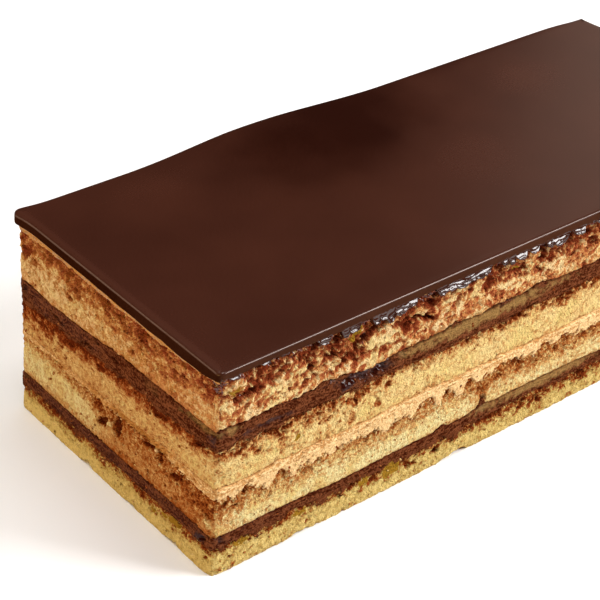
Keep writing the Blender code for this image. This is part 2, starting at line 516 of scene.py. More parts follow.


# ---- sponge

# Node, boundary under it and rows of its wall. Contrast of its crumb, how much more it has near the front
# corner, and the share of it kept below the crust. Raggedness of the crust, how open the crumb is torn, and
# how much darker its foot is. Then profile, coat, marks and seed.
# The profile says, at some walks, how far the crust reaches down, and how browned the sheet is far below it
# and at its top. The coat is what hangs over the sheet from the layer above: how far on the front, on the
# left and elsewhere, its raggedness, and its lumps: walk, further fall and reach of each
Coat = namedtuple("Coat", "front left other ragged lumps")
Sheet = namedtuple(
    "Sheet", "node lower rows contrast near bare ragged open creep profile coat marks seed"
)
SHEETS = (
    Sheet(
        "bottom_sponge", UNDERSIDE, 36, 0.9, 0.1, 0.6, 1, 0.14, 0,
        (
            (-202, 2.2, 0.26, 0.75), (-60, 3.2, 0.06, 0.74), (-30, 3.4, 0.09, 0.72), (-6, 2.8, 0.17, 0.75),
            (0, 2, 0.24, 0.75), (20, 2.8, 0.26, 0.85), (58, 2.6, 0.26, 0.85), (66, 3.6, 0.28, 0.8),
            (202, 2.4, 0.26, 0.75),
        ),
        Coat(
            0.45, -0.35, 0.4, 0.75,
            (
                (1.4, 0.8, 0.5), (9.4, 1.1, 1.2), (12, 0.6, 1), (23.4, 1.7, 1.3), (27.2, 1.5, 0.9),
                (35.8, 0.6, 0.9), (48.5, 0.6, 1.4), (54.6, 1.7, 1.4), (16.5, -0.4, 1.6), (66, -0.6, 8),
                (-57.5, 0.9, 1.5), (-49, 0.8, 2), (-44, 1, 2.5), (-39.7, 1.9, 1.2), (-30.8, 1.7, 1.5),
                (-22, 0.5, 1.5), (-4.6, 1, 1.2), (95, 1.2, 1.5), (112, 1, 1.5),
            ),
        ),
        (
            (3.6, 2.9, 0.45, 0.3, 0.5, 0.5), (7.6, 4.5, 0.45, 0.3, 0.5, 0.4),
            (20.5, 2.2, 0.9, 0.5, 0.3, 0.2), (27.2, 4.5, 0.8, 0.7, 0.5, 0.2, 0.3, -0.2),
            (43.4, 3.4, 1.3, 0.9, 0.4, 0.7, 0.1, -0.3), (49.6, 3.7, 0.9, 0.7, 0.7, 1, 0.5, 0.1),
            (75.2, 4.3, 1.8, 0.6, 0.35, 0.1, 0, -0.7), (61, 5.2, 1.8, 0.6, 0.4, 0.1, 0.2),
            (-45.3, 4.2, 0.9, 0.4, 0.6, 0.5), (-26, 2.5, 0.5, 0.35, 0.5, 0.4, 0, 0.3),
            (-2.3, 3.2, 0.5, 0.4, 0.5, 0.5, 0, 0.2), (-17.5, 2.6, 0.7, 0.5, 0.3, 0.3),
            (-50, 4.8, 3.6, 1, 0.3, 0.1, 0.1, 0.1), (-41, 4.6, 3.2, 1, 0.25, 0.1, 0.1),
            (5.6, 5.2, 1.7, 1, -0.6, 0, -1), (18.2, 5, 1.6, 0.9, -0.6, 0, -0.8),
            (32.8, 4.9, 1.4, 1.2, -0.7, 0, -1), (39.4, 4.9, 2.3, 1.6, -0.9, 0, -1.2, 0.2),
            (-11, 4.8, 2.4, 0.8, -0.5, 0, -0.8), (-16.5, 3.2, 1, 0.6, 0, 0.1, -0.6),
        ),
        11,
    ),
    Sheet(
        "third_sponge", LOWER_GANACHE_TOP, 40, 0.42, 0, 0.22, 0.45, 0.1, 0.14,
        (
            (-202, 4, 0.18, 0.55), (-60, 2.4, 0.12, 0.45), (-38, 2.6, 0.12, 0.5), (-33, 4.6, 0.22, 0.62),
            (-28, 6, 0.42, 0.6), (-6, 8, 0.47, 0.62), (0, 7, 0.24, 0.62), (8, 6.6, 0.05, 0.55),
            (26, 6.2, 0.05, 0.54), (44, 6.2, 0.08, 0.57), (53, 5, 0.1, 0.58), (57, 6, 0.12, 0.6),
            (60, 7.5, 0.26, 0.66), (63, 6.4, 0.12, 0.62), (82, 6.6, 0.12, 0.62), (202, 5, 0.18, 0.6),
        ),
        Coat(
            1.4, -0.5, 1, 0.75,
            (
                (0, -0.8, 0.9), (6.3, -1.4, 1.3), (10.8, 1.8, 1), (13.6, -1.4, 0.9), (16.1, 1.5, 1),
                (24.5, 0.6, 1), (36.8, 1.5, 1.6), (42.7, 1.2, 0.8), (45.6, -1.3, 1.5), (49, 1.5, 0.9),
                (51, -1.8, 0.7), (54.2, 2.2, 1.4), (56.4, -1.4, 0.8), (59, 0.8, 0.9), (66, -1.5, 3.2),
                (73, 0.8, 0.6), (75.6, -1.5, 1.4), (78.6, 0.6, 0.7), (81, -1.5, 1.4), (95, 1.5, 1.5),
                (104, -1.2, 3),
            ),
        ),
        (
            (60.6, 10.2, 0.7, 1, 0.7, 0.4, 0.8), (60.6, 12.5, 1.6, 1.6, 0.25),
            (5.9, 16.2, 0.6, 1.3, 0.5, 0.4, 0.1), (51, 16.2, 0.7, 1.4, 0.4, 0.3, 0.1),
            (-31.6, 12.9, 2.2, 0.9, 1.2, 0.8, 0.3, 0.6), (-27.7, 14.2, 1.4, 2, 1.2, 1, 0.3, -0.3),
            (-29.8, 13.6, 1.3, 0.9, -0.5, -0.5, 0, 0.4), (-18, 16.2, 2.8, 0.4, 0.8, 0.7, 0.1, 0.1),
            (-23, 17.2, 1.6, 0.5, 0.8, 0.5, 0.1, -0.3), (-15.4, 15.3, 0.5, 1.1, 0.8, 0.7, 0.1),
            (-10.5, 14.6, 1.9, 0.8, 0.8, 0.6, 0.1, 0.5), (-2.6, 13, 2.2, 1.3, 0.3, 0.2),
            (-2, 11.9, 1.6, 0.2, 0.8, 0.7, 0.4), (-1.8, 10.8, 1.5, 0.8, -0.3, -0.3),
            (-34, 15.6, 1.2, 1, 0.35, 0.3, 0, 0.5), (-49, 11.7, 0.4, 0.25, 0.6, 0.4, 0.2, 0.6),
            (-23.4, 16.9, 0.8, 0.6, 0.4, 0.3),
        ),
        12,
    ),
    Sheet(
        "second_sponge", COFFEE_TOP, 44, 0.8, 0.15, 0.35, 0.9, 0.16, 0.06,
        (
            (-202, 3.2, 0.22, 0.65), (-60, 5.2, 0.28, 1.02), (-48, 4.8, 0.28, 1), (-40, 4.2, 0.26, 0.96),
            (-30, 3.8, 0.27, 0.9), (-12, 3.6, 0.28, 0.88), (0, 3.2, 0.18, 0.58), (3, 3.7, 0.14, 0.45),
            (14, 3.7, 0.14, 0.45), (26, 3.7, 0.14, 0.47), (36, 3.8, 0.14, 0.55), (39, 2.8, 0.12, 0.55),
            (62, 2.8, 0.12, 0.58), (75, 3, 0.12, 0.62), (82, 3.4, 0.14, 0.64), (142, 3.4, 0.18, 0.62),
            (202, 3.2, 0.22, 0.65),
        ),
        Coat(
            0.1, 0.15, 0.2, 0.45,
            (
                (12.6, 0.8, 1.2), (7, 0.4, 2), (49, 0.6, 0.8), (64, 0.6, 0.9), (-56, 0.8, 3),
                (-42, 0.5, 3.5), (-16, 0.6, 2), (-30, 0.4, 3),
            ),
        ),
        (
            (12.3, 25.4, 2.3, 1.6, 0.6, 0.3, 0.4, -0.3), (5, 25.4, 2.3, 1.3, 0.4, 0.1, 0.2, 0.2),
            (13.5, 21.8, 0.8, 1.9, 0.5, 0.1), (8.4, 23, 2.7, 0.8, 0.45, 0.1, 0, -0.5),
            (28.7, 23.6, 0.9, 1.6, 0.5, 0.1), (28.8, 20.8, 0.9, 1.4, 0.5, 0.1),
            (16.6, 20.1, 2.3, 0.9, 0.35, 0, 0, -0.2), (18.2, 24, 1, 0.6, 0.4, 0.1),
            (23.5, 25.1, 3.2, 1.2, 0.25, 0, 0.1, 0.1), (30.6, 25.6, 1.4, 1, 0.4, 0.1, 0.2),
            (16.7, 21.8, 1, 0.7, 0, 0, -0.9), (22.6, 22.8, 1.3, 0.7, 0.4, 0.1),
            (36.1, 24.1, 1, 0.6, 0.6, 0.4, 0.2, 0.2), (66.8, 26.3, 2.3, 0.9, 1.1, 0.7, 0.3, -0.5),
            (79.5, 26, 1.8, 0.8, 0.35, 0.1), (48.9, 26.4, 0.8, 0.6, 0.5, 0.3, 0.2),
            (60.5, 23.7, 1, 0.4, 0.25, 0.1, 0, 0.1), (34, 21.3, 0.6, 1.4, 0.6, 0.3),
            (79.5, 25.2, 2, 0.9, 0.2, 0.1), (-45.4, 21, 1, 0.4, 0.45, 0.3, 0.1, 0.1),
            (-53, 24.6, 5, 1.1, 0.3, 0.2, 0.4, 0.1), (-41, 25, 4, 1, 0.3, 0.2, 0.3, 0.1),
            (-16.2, 24.2, 2.2, 0.7, 0.8, 0.4, 0.3, 0.1), (-4.8, 25.4, 1.5, 0.9, 0.9, 0.8, 0.3, 0.3),
            (-7.4, 23.9, 0.9, 0.4, 0.4, 0.3, 0.1, 0.3), (-32.8, 23.2, 1.2, 0.6, 0.4, 0.2, 0.1, 0.4),
        ),
        13,
    ),
    Sheet(
        "first_sponge", UPPER_GANACHE_TOP, 48, 1, 0.2, 0.66, 1.3, 0.5, 0.12,
        (
            (-202, 6.5, 0.26, 0.76), (-61, 6.2, 0.07, 0.7), (-45, 5.9, 0.07, 0.71), (-28, 6, 0.15, 0.69),
            (-8, 6.8, 0.24, 0.66), (0, 6.9, 0.17, 0.5), (6, 7.4, 0.15, 0.41), (24, 7.4, 0.18, 0.42),
            (28, 7.6, 0.2, 0.46), (33, 6.6, 0.2, 0.5), (40, 7.6, 0.26, 0.54), (54, 7, 0.26, 0.52),
            (70, 7, 0.26, 0.52), (142, 7, 0.26, 0.58), (202, 6.5, 0.22, 0.66),
        ),
        Coat(
            0.8, -1.2, 0.3, 0.9,
            (
                (1, 1.2, 1.5), (7, 0.2, 3), (14, 0.3, 3), (20, 0.4, 3), (30, 0.5, 5), (44, 0.8, 2),
                (-1, 2.2, 1.8), (59, 0.8, 2), (70, 0.6, 2),
            ),
        ),
        (
            (17, 31.4, 19, 0.8, -0.1, -0.3, 0, 0.02), (60, 31.6, 18, 0.5, 0.05, -0.3, 0, 0.02),
            (6, 35.4, 1.8, 0.7, 1.2, 1.5, 0.6, 0.1), (18.3, 34.8, 1.4, 0.6, 1.2, 1.4, 0.4, 0.3),
            (30.7, 36.6, 2.7, 1, 1.6, 1.6, 1.2, 0.65), (28, 34.6, 1, 1.4, 0.35, 0.3, 0.1, 0.2),
            (34, 34.9, 3.5, 1.9, -1, -0.2, 0, -0.1), (1.5, 34.5, 1.6, 1.5, -0.6, 0, 0, 0.3),
            (13, 34, 2.4, 0.9, -0.5, 0, 0, 0.1), (43.2, 35.2, 2.6, 0.6, 1.1, 1.3, 0.7, -0.35),
            (45, 37.4, 1, 1, 0.9, 0.8, 0.4), (64.8, 34, 3.8, 1.4, -1, -0.1, 0, -0.1),
            (65.6, 36.4, 2.3, 0.5, 0.9, 0.8, 0.4, -0.1), (51, 35, 0.9, 0.9, 0.4, 0.4, 0.2, 0.2),
            (54, 35, 2.6, 1.3, -0.5, 0, 0, 0.2), (75.3, 34.3, 3, 1.5, -0.8),
            (28.1, 38, 1.3, 1.2, -0.2, -0.1, -1, 0.3), (64.6, 37, 1, 0.6, 0, 0, -1),
            (45.5, 33.4, 1.5, 0.9, -0.4), (56.2, 36.8, 1.5, 1.1, -0.7), (3.6, 37, 0.9, 0.9, -0.3, 0, -0.6),
            (71, 36.8, 1.3, 0.6, 0.8, 0.8, 0.4, -0.2), (23.6, 35.2, 1.4, 0.5, 1, 1.1, 0.3, -0.2),
            (58.5, 36, 1.6, 1, 0.6, 0.5, 0.2), (70.5, 34.6, 1.2, 1.2, 0.5, 0.4, 0.1),
            (26, 33.6, 1.6, 1.2, 0.6, 0.4, 0.1, 0.3), (12, 36.4, 1.6, 0.7, 0.7, 0.6, 0.3, 0.3),
            (48.6, 36.6, 1.7, 1.9, -0.5, 0, 0, 0.2), (32.5, 38, 1.4, 0.5, -0.6, 0, 0, 0.2),
            (39.6, 35.6, 1.5, 1.3, 0.6, 0.5, 0.1, 0.3), (9.5, 37.6, 2, 0.9, 0.3, 0.3, 0.2, 0.2),
            (3.9, 37.8, 0.8, 1.3, -0.4), (20.5, 36.6, 1.5, 0.8, -0.2, 0, 0, 0.2),
            (-1.2, 38.2, 1.6, 1.5, 0.5, 0.5, 0.9, -0.3), (-3.4, 36.2, 1.3, 1.3, 0.3, 0.3, 0.3, -0.5),
            (-56.5, 35.2, 2.2, 1.4, 0.7, 0.3, 0.1, 0.5), (-58.4, 37.8, 0.8, 0.9, 0.4, 0.2, 0.1),
            (-45, 37.6, 4.2, 1, 0.25, 0.1, 0, 0.1), (-42.4, 32.8, 0.9, 0.5, 0.35, 0.2),
            (-32, 37.6, 2, 1.1, 0.35, 0.2), (-27.2, 37.4, 1.1, 0.9, 0.35, 0.2),
            (-20.6, 36.6, 1.8, 1.4, 0.7, 0.5, 0.1, -0.4), (-51.5, 37, 1.8, 0.9, -0.2),
            (-10, 35.4, 3, 0.15, 0.4, 0.3), (-10, 36.8, 2.6, 0.8, -0.25), (-36, 34, 32, 7, 0, 0, -0.24),
        ),
        14,
    ),
)
CRUMB_FIELDS = ("browning", "spread", "cavity", "amber", "coarse")
LARGE_CELL, SMALL_CELL, BILLOW = 2.2, 1.0, 2.0  # sizes of the torn cells and of the billows
BUBBLE_APART, BUBBLE_SHARE = 1.1, 0.35
# On the front, on the left and elsewhere: how rough the tearing is, how much contrast stays below the crust,
# and how coarse the grain is
ROUGH, BARE, COARSE = (1.0, 0.5, 0.85), (1.0, 0.4, 0.7), (1.0, 0.85, 0.9)
NEAR_WALK, NEAR_REACH = 12.0, 14.0  # where the crumb has more contrast
FOOT_FADE_HEIGHT, FOOT_FADE_MORE_LEFT = 0.7, 0.5  # height over which the darker foot fades, and more on the left
# Further wear of the top sheet's near left corner: its reach and the heights between which it grows
WORN_REACH, WORN_FROM, WORN_TO = 2.2, 32.0, 38.0
DARKEST = 1.2  # most browning and painted shade that a sheet can have
PROUD, SPONGE_PROUD = 0.2, 0.06  # how far cream and ganache, and sponge, stand out from the plain cut
WALLS = {}  # finished wall of each layer and its browning with painted shade, for the crumbs that cling to it


def coat_over(sheet, depth, bent):
    """1 where the layer above hangs over a sheet: a sharp step of the coat's own reach, made ragged by a
    cloud, less the depth below the seam."""
    coat = sheet.coat
    reach = by_side(coat.front, coat.left, coat.other)
    for walk, fall, spread in coat.lumps:
        reach = reach + fall * hump(WALK, walk, spread)
    ragged = cloud(bent, 1.7, 3, sheet.seed + 40) + 1.3 * cloud(bent, 0.7, 3, sheet.seed + 41)
    return smooth(-0.08, 0.08, reach + coat.ragged * ragged - depth)


def swell(wall):
    """Unevenness of cream and ganache where they bulge over the layer below."""
    return 0.1 * noise(wall, 1.3, seed=50) + 0.05 * noise(wall, 0.6, seed=51)


def sponge_wall(sheet, relief):
    """Wall of one sponge sheet and its fields. The crust is a smooth step of depth over reach, made
    ragged by clouds. Cells torn open, of two sizes, go in and brown, and so do billows where the crumb is
    open: partly the crumb's own tone and partly painted shade in these hollows; bubbles and marks pit the
    wall further. The foot is darker, in an exponential of height, more so on the left, and the near left
    corner is worn in. Seams are drawn in and painted darker, as painted shade. A coat of cream or ganache
    smooths the sheet over, while the glaze only soaks it and wets it."""
    wall = plain_wall(sheet.lower, sheet.rows)
    depth = CUT[sheet.lower + 1] - wall[..., 2]
    above = wall[..., 2] - CUT[sheet.lower]
    reach, low, high = knots(*sheet.profile)
    rough = by_side(*ROUGH)
    bent = warped(lean(wall, 0.4, 1.5), 2.2, 0.5, sheet.seed)
    frayed = warped(bent, 0.9, 0.24, sheet.seed + 20)
    loose = warped(lean(wall, 0.0, 1.2), 1.2, 0.35, sheet.seed + 23)
    drift = cloud(wall, 6.0, 2, sheet.seed + 3)
    mottle = cloud(bent, 2.6, 4, sheet.seed + 4, 0.75)
    crust = smooth(1.2, 0.1, depth / reach + sheet.ragged * (0.4 * mottle + 0.3 * drift))
    brown, deep, wet = patches(wall, sheet.seed + 5, sheet.marks)
    crust = unit(crust + brown)
    inside, owner = cells(frayed, LARGE_CELL, sheet.seed + 6)
    large = smooth(0.04, 0.32, inside) * smooth(-0.1, 0.1, sheet.open + 0.25 * crust - owner)
    inside, owner = cells(loose, SMALL_CELL, sheet.seed + 7)
    small = smooth(0.02, 0.16, inside) * smooth(-0.1, 0.1, 0.28 + 0.3 * crust - owner)
    pores = bubbles(wall, BUBBLE_APART, BUBBLE_SHARE, sheet.seed + 8)
    torn = cloud(loose, 1.3, 3, sheet.seed + 9, 0.75)
    pit = large * (0.1 + 0.4 * crust) + small * (0.08 + (0.2 + 0.3 * sheet.open) * crust)
    pit = rough * pit + 0.8 * pores
    billow = billows(loose, BILLOW, sheet.seed + 10)
    pit += rough * 1.2 * sheet.open * billow * (0.5 + 0.5 * crust)
    pit += np.maximum(deep, -0.3)
    outward = rough * (0.17 + 0.3 * sheet.open) * torn * (0.5 + crust) - pit
    # Cells and billows that pit the wall also darken its colour: the crumb's own tone together with painted
    # shade in the hollows
    texture = 0.26 * mottle + (0.35 + 0.4 * sheet.open) * large + (0.2 + 0.5 * sheet.open) * small
    texture += 0.35 * torn
    texture += 1.3 * sheet.open * (billow - 0.5) - 0.16
    bare = sheet.bare * by_side(*BARE)
    nearby = 1 + sheet.near * hump(WALK, NEAR_WALK, NEAR_REACH)
    contrast = sheet.contrast * nearby * rough * (bare + (1 - bare) * crust)
    browning = low + (high - low) * crust + contrast * texture + 0.06 * drift + 0.4 * brown
    # The foot of each sheet is darker, fading with height, more so on the left
    foot_fade = np.exp(-above / (FOOT_FADE_HEIGHT + FOOT_FADE_MORE_LEFT * LEFT))
    browning += sheet.creep * (1 + 1.2 * LEFT) * foot_fade
    outward *= relief
    outward -= hump(WALK, 0.0, 2.0) * (0.25 + 0.45 * noise(wall, 2.2, sheet.seed + 60))
    joint = seams(sheet.lower, sheet.rows)
    coat = coat_over(sheet, depth, frayed)
    if sheet.node == "first_sponge":
        outward -= 0.6 * hump(WALK, 0.0, WORN_REACH) * smooth(WORN_FROM, WORN_TO, wall[..., 2])
        soaked = coat * smooth(-0.3, 0.3, cloud(frayed, 0.9, 2, sheet.seed + 11))
        browning += 0.2 * coat
        outward += 0.25 * soaked + 0.15 * coat * noise(bent, 0.9, sheet.seed + 12)
        outward += knife(wall) + SPONGE_PROUD - joint
        spread = np.maximum(wet, soaked)
    else:
        bulge = PROUD + swell(wall)
        outward = knife(wall) + (SPONGE_PROUD + outward) * (1 - coat) + bulge * coat - joint
        spread = np.maximum(wet, coat)
        pit = pit * (1 - coat)
    # Adding the seam depth to the browning darkens the seams: painted shade in the creases
    browning = np.clip(browning + joint, 0.0, DARKEST)
    coarse = by_side(*COARSE) * (0.52 + 0.48 * crust)
    # The cavity field is the depth of the pits; the crumb finish paints it darker, as painted shade in the
    # pits
    values = browning, unit(spread), unit(pit * 1.1), unit(-wet), coarse
    finished = pushed(wall, outward)
    WALLS[sheet.node] = finished, browning
    return finished, dict(zip(CRUMB_FIELDS, values))


# ---- ganaches and buttercreams

# Node, boundary under it and rows of its wall, how far it stands out, depth of its drag marks, marks and
# seed. Here a mark's browning is how much lighter crumb and cream smear the place, its depth is the tear,
# and its wetness is how freshly torn it is
Filling = namedtuple("Filling", "node lower rows proud drag marks seed")
FILLINGS = (
    Filling(
        "lower_ganache", BASE_TOP, 18, PROUD, 0.05,
        (
            (76, 8.2, 17, 1.2, 0.9), (60.6, 8.6, 1.4, 0.8, 0.5, 0.2, 0.2),
            (-4.2, 6.6, 1.2, 0.9, 0.2, -0.3, 0.7, 0.4), (-2.5, 7.2, 0.8, 0.6, 0, 0.5, 0.8),
            (1.2, 8.8, 0.7, 2.2, 0, 0.4, 0.8), (-57, 8, 1.2, 0.4, 0.5, -0.1, 0, 0.3),
            (23.5, 5.2, 1.6, 1, 0, 0.1, 0.6), (-32, 7.5, 34, 3.5, 0, 0, 0.15), (27, 5, 1, 0.8, 0, 0.1, 0.6),
        ),
        21,
    ),
    Filling(
        "coffee_buttercream", THIRD_TOP, 22, PROUD, 0.13,
        (
            (17.5, 18, 1.4, 0.2, 0.6, 0.25, 0.3, 0.3), (32, 17.4, 0.4, 0.2, 0.6, 0.3, 0.4),
            (-22, 17.4, 6, 0.7, 0.6, 0.1), (-46, 16.6, 3, 0.3, 0.4, 0.2), (-32, 17.4, 34, 2.2, 0.62),
            (-20, 17.4, 16, 2.2, 0.35), (6, 16.8, 0.8, 0.5, 0.7, 0.3, 0.2, 0.3),
            (20.5, 18.4, 0.9, 0.2, 0.6, 0.2, 0.2, -0.2),
        ),
        22,
    ),
    Filling(
        "upper_ganache", SECOND_TOP, 26, 0.12, 0.07,
        (
            (57.5, 29.6, 20.5, 1.5, 1, 0, 0, 0.01), (2.6, 29.8, 1.6, 1, 0.8, 0.1),
            (-5, 29.4, 6, 0.7, 0.8, 0, 0, 0.05), (63.5, 30.6, 1.6, 0.8, -0.9, 0.2, 0.2),
            (72.5, 30.5, 0.8, 0.5, -0.7, 0.2, 0.1, 0.2), (30.8, 29.1, 5.8, 1.5, 0, 0.6, 1, 0.02),
            (-48, 28, 14, 3, 0, 0, 0.12), (27, 28.2, 1.8, 0.6, 0, -0.5, 0.6, 0.2),
            (34.2, 28.7, 1.2, 0.8, 0, 0.3, 0.9), (9, 27.9, 5, 0.6, 0, 0.2, 0.7),
            (-57.4, 26.6, 0.8, 1.2, 0, 0.8, 0.3, 0.8), (-28.6, 27.9, 1.3, 0.35, 0, 0.9, 0.2, -0.6),
            (-34.2, 28.4, 1.2, 0.25, 0, 0.6, 0.2, -0.2), (-37, 26, 1.4, 0.4, 0, 0.6, 0.2, 0.1),
            (-46.4, 26.4, 2, 0.3, 0, 0.6, 0.2, -0.3), (-1.2, 28, 1, 1.2, 0.1, 0.3, 0.6, 0.3),
            (0.6, 29.4, 0.7, 1.1, 0.3, 0.3, 0.2), (22.5, 30.2, 1.6, 0.3, 0, 0.3, 0.5, 0.3),
            (-18, 28.5, 3, 1, 0.3),
        ),
        23,
    ),
    Filling("top_buttercream", FIRST_TOP, 10, 0.02, 0.05, (), 24),
)
SPREAD_FIELDS = ("drag", "tear", "smear", "wet")
# How far X and Y are shrunk for drag marks, lumps and chips, which makes each longer along the side
DRAWN, LUMPED, CHIPPED = (0.16, 0.16, 1.0), (0.5, 0.5, 1.0), (0.4, 0.4, 1.0)


def filling_wall(filling):
    """Wall of a cream or ganache and its fields: drag marks are noise six times as long as it is high,
    tears follow the marks and a few thin clouds, fresh ones are lumpy, smears on the left side crumble
    into billows, and the edges are drawn in to a seam, which is also painted in the torn tone as painted
    shade in the crease."""
    wall = plain_wall(filling.lower, filling.rows)
    drag = cloud(wall * DRAWN, 0.6, 3, filling.seed)
    smear, deep, wet = patches(wall, filling.seed + 3, filling.marks, 0.4)
    lumps = cloud(warped(wall * LUMPED, 1.6, 0.4, filling.seed + 4), 1.0, 2, filling.seed + 7)
    chips = smooth(0.8, 1.05, cloud(wall * CHIPPED, 1.6, 3, filling.seed + 8))
    smear, wet = unit(smear), unit(wet)
    chunks = noise(warped(wall, 0.8, 0.2, filling.seed + 5), 0.5, filling.seed + 6)
    outward = knife(wall) + filling.proud + swell(wall) + filling.drag * drag * (1 - wet)
    crumbled = 0.9 * (smear * LEFT) * billows(wall, 1.1, filling.seed + 9)
    outward += wet * (0.4 * lumps + 0.16 * chunks) - crumbled
    joint = seams(filling.lower, filling.rows)
    outward -= deep + 0.25 * chips + joint
    # Twice the seam depth goes into the torn tone: painted shade in the creases between layers
    tear = wet * (1.0 + 0.6 * lumps) + 0.5 * chips + 2.0 * joint
    finished = pushed(wall, outward)
    WALLS[filling.node] = finished, smear
    return finished, dict(zip(SPREAD_FIELDS, (unit(0.5 + 0.4 * drag), unit(tear), smear, wet)))


# ---- glaze

BAND_FOOT = 40.4  # height down to which the cut band of the glaze is plain
# Walk, and how much lower the edge of the glaze hangs there
HANGS = ((-202, 0.2), (-60, 0.1), (-38, 0.3), (-26, 0.6), (-4, 0.85), (0, 0), (202, 0.2))
LEAST_DROP = 0.5  # of the glaze's lower edge on the long sides
FLARE, FLARE_WALK, FLARE_REACH = 0.6, -59.5, 3.5  # how far the band stands out at the far left corner
RUN_SIZE, RIPPLE_SIZE = 5.0, 1.2  # of the clouds that make the beads elsewhere and ripple the lower edge
LUMP_STRETCH, WRINKLE_STRETCH = (0.35, 0.35, 1.0), (0.3, 0.3, 0.6)
WRINKLE_TURN, WRINKLE_BEND = 12.0, 5.0  # of the sine that wrinkles a bead, in radians
RIM_HEIGHT, RIM_INWARD = 0.38, 0.45
LEFT_RIM_WIDER, LEFT_RIM_TALLER = 0.55, 0.22  # more of each on the left
MOUND_X, MOUND_Y, MOUND_REACH = -19.0, 28.0, 11.0
MOUND_FOOT, MOUND_FULL = 41.0, 41.7  # heights between which the mound fades in
POOL_ABOVE = 41.9  # height over which the painted dark reflection shows
SIDE_ROWS, RIM_ROWS, TOP_COLUMNS, TOP_RINGS = 28, 7, 500, 30
TOP_INSET = 2.0  # from the edge to the first ring of the top
BARE_SWELL = 0.1  # less swell than this leaves the band plain
FRONT_RUNS_END = 82.0  # walk to which the beads in the list reach
POURED, CUT_BAND, BEAD, RIM = range(4)  # materials

# Beads of chocolate that ran down on the front: walk, reach along the side, drop and swell
BEADS = (
    (2.6, 1.4, 0.9, 0.35), (8.8, 1.6, 0.8, 0.25), (12.6, 1.2, 0.7, 0.16), (20.6, 1.6, 1.2, 0.5),
    (25.2, 1, 1.6, 0.45), (27, 1.6, 1.3, 0.75), (31.8, 1.1, 1.7, 0.5), (33.9, 2.3, 1.4, 0.7),
    (34.8, 1.3, 2.3, 0.4), (37.2, 2.6, 1.6, 0.8), (39.4, 1.5, 1.1, 0.7), (46.6, 1.5, 1.6, 0.6),
    (48.6, 1.6, 1.3, 0.75), (51.2, 2.6, 1.8, 0.85), (54.8, 2.8, 1.4, 0.8), (57, 1.2, 1, 0.5),
    (61.2, 0.9, 1.1, 0.6), (63, 1, 1.4, 0.5), (65.2, 1.7, 1.1, 0.6), (68.4, 1.5, 1, 0.6),
    (72.4, 1.1, 1.4, 0.5), (74.8, 2.6, 1.6, 0.75), (79.8, 1.7, 1.3, 0.7),
)


def runs(bulging):
    """Drop and swell of the glaze's lower edge at every column: the largest bell among the front's beads,
    and beads made by a cloud on the rest of the long sides. Away from the near left corner all of them
    drop further."""
    chance = cloud(edge_at(0), RUN_SIZE, 3, seed=95)
    beyond = smooth(FRONT_RUNS_END, FRONT_RUNS_END + 4, np.where(WALK > 0, WALK, 90.0))
    elsewhere = LONG * beyond * smooth(-0.35, 0.45, chance)
    drop = elsewhere * (1.2 + 0.9 * chance)
    swell = 0.7 * elsewhere
    for walk, reach, fall, bulge in BEADS:
        bell = smooth(1.25, 0.3, abs(WALK - walk) / reach)
        drop = np.maximum(drop, fall * bell)
        swell = np.maximum(swell, bulge * bell)
    drop = drop * (1 + 0.3 * smooth(15.0, 22.0, WALK))
    return drop + 0.25 * LONG * cloud(edge_at(0), RIPPLE_SIZE, 3, seed=96), bulging * swell


def glaze_rings(bulging):
    """Rings of the glaze from its lower edge up to the rim, then inwards, and the material of each face.
    A bead swells out in a smooth step from its foot and slopes back to the plain band; a cloud makes it
    lumpy and a sine of height, bent by a cloud, wrinkles it. The band hangs lower on the left. The rim is
    a quarter ellipse, wider and taller on the left."""
    drop, swell = runs(bulging)
    (sunk,) = knots(*HANGS)
    sunk = sunk * (1 + 0.4 * noise(edge_at(0), 6.0, seed=99))
    low = CUT[CREAM_TOP] - np.maximum(drop, LEAST_DROP * LONG) - sunk
    width = RIM_INWARD + LEFT_RIM_WIDER * LEFT
    height = RIM_HEIGHT + LEFT_RIM_TALLER * LEFT
    strays = FLARE * hump(WALK, FLARE_WALK, FLARE_REACH) - ROUNDED
    foot = np.maximum(BAND_FOOT + 0.3 * hump(WALK, 9.0, 9.0), low + 0.2)
    start = HEIGHT - height
    rings, finish = [], []
    for share in np.linspace(0.0, 1.0, SIDE_ROWS):
        z = low + share * (start - low)
        here = edge_at(z)
        part = unit((z - low) / (foot - low))
        bulge = smooth(0.0, 0.35, part) * (1 - part) / 0.7
        lumps = cloud(here * LUMP_STRETCH, 1.5, 2, seed=97)
        bend = cloud(here * WRINKLE_STRETCH, 1.2, 3, seed=94)
        wrinkles = np.sin(WRINKLE_TURN * z + WRINKLE_BEND * bend)
        undercut = 0.3 * (1 - smooth(0.0, 0.16, share))
        outward = swell * bulge * (1.0 + 0.65 * lumps + 0.22 * wrinkles) - undercut
        outward += 0.03 * noise(here, 4.0, seed=98) + strays
        rings.append(np.column_stack([EDGE + outward[:, None] * NORMAL, z]))
        finish.append(np.where((part > 0.97) | (swell < BARE_SWELL), CUT_BAND, BEAD))
    for angle in np.linspace(0.0, math.pi / 2, RIM_ROWS + 1)[1:]:
        inward = width * (1 - math.cos(angle))
        z = start + height * math.sin(angle)
        rings.append(np.column_stack([EDGE + (strays - inward)[:, None] * NORMAL, z]))
        finish.append(np.full(COLUMNS, RIM))
    return np.array(rings), np.array(finish)


# Painted reflection of the top: its dark patch, its tail and the pale clouds, middle and reach along X and
# along Y
POOL_X, POOL_WIDE, POOL_Y, POOL_DEEP = -6.0, 23.0, 22.0, 17.0
TAIL_X, TAIL_WIDE, TAIL_Y, TAIL_DEEP = 18.0, 26.0, 30.0, 6.0
POOL_LEAN, LEANS_ABOUT = 0.4, 20.0  # how far the painted dark reflection leans towards +X at the back, and the Y it turns about
PALE_CLOUDS = (((19, 7), (21, 4)), ((40, 8), (14, 6)), ((-45, 9), (22, 4)), ((8, 8), (-2, 9)))


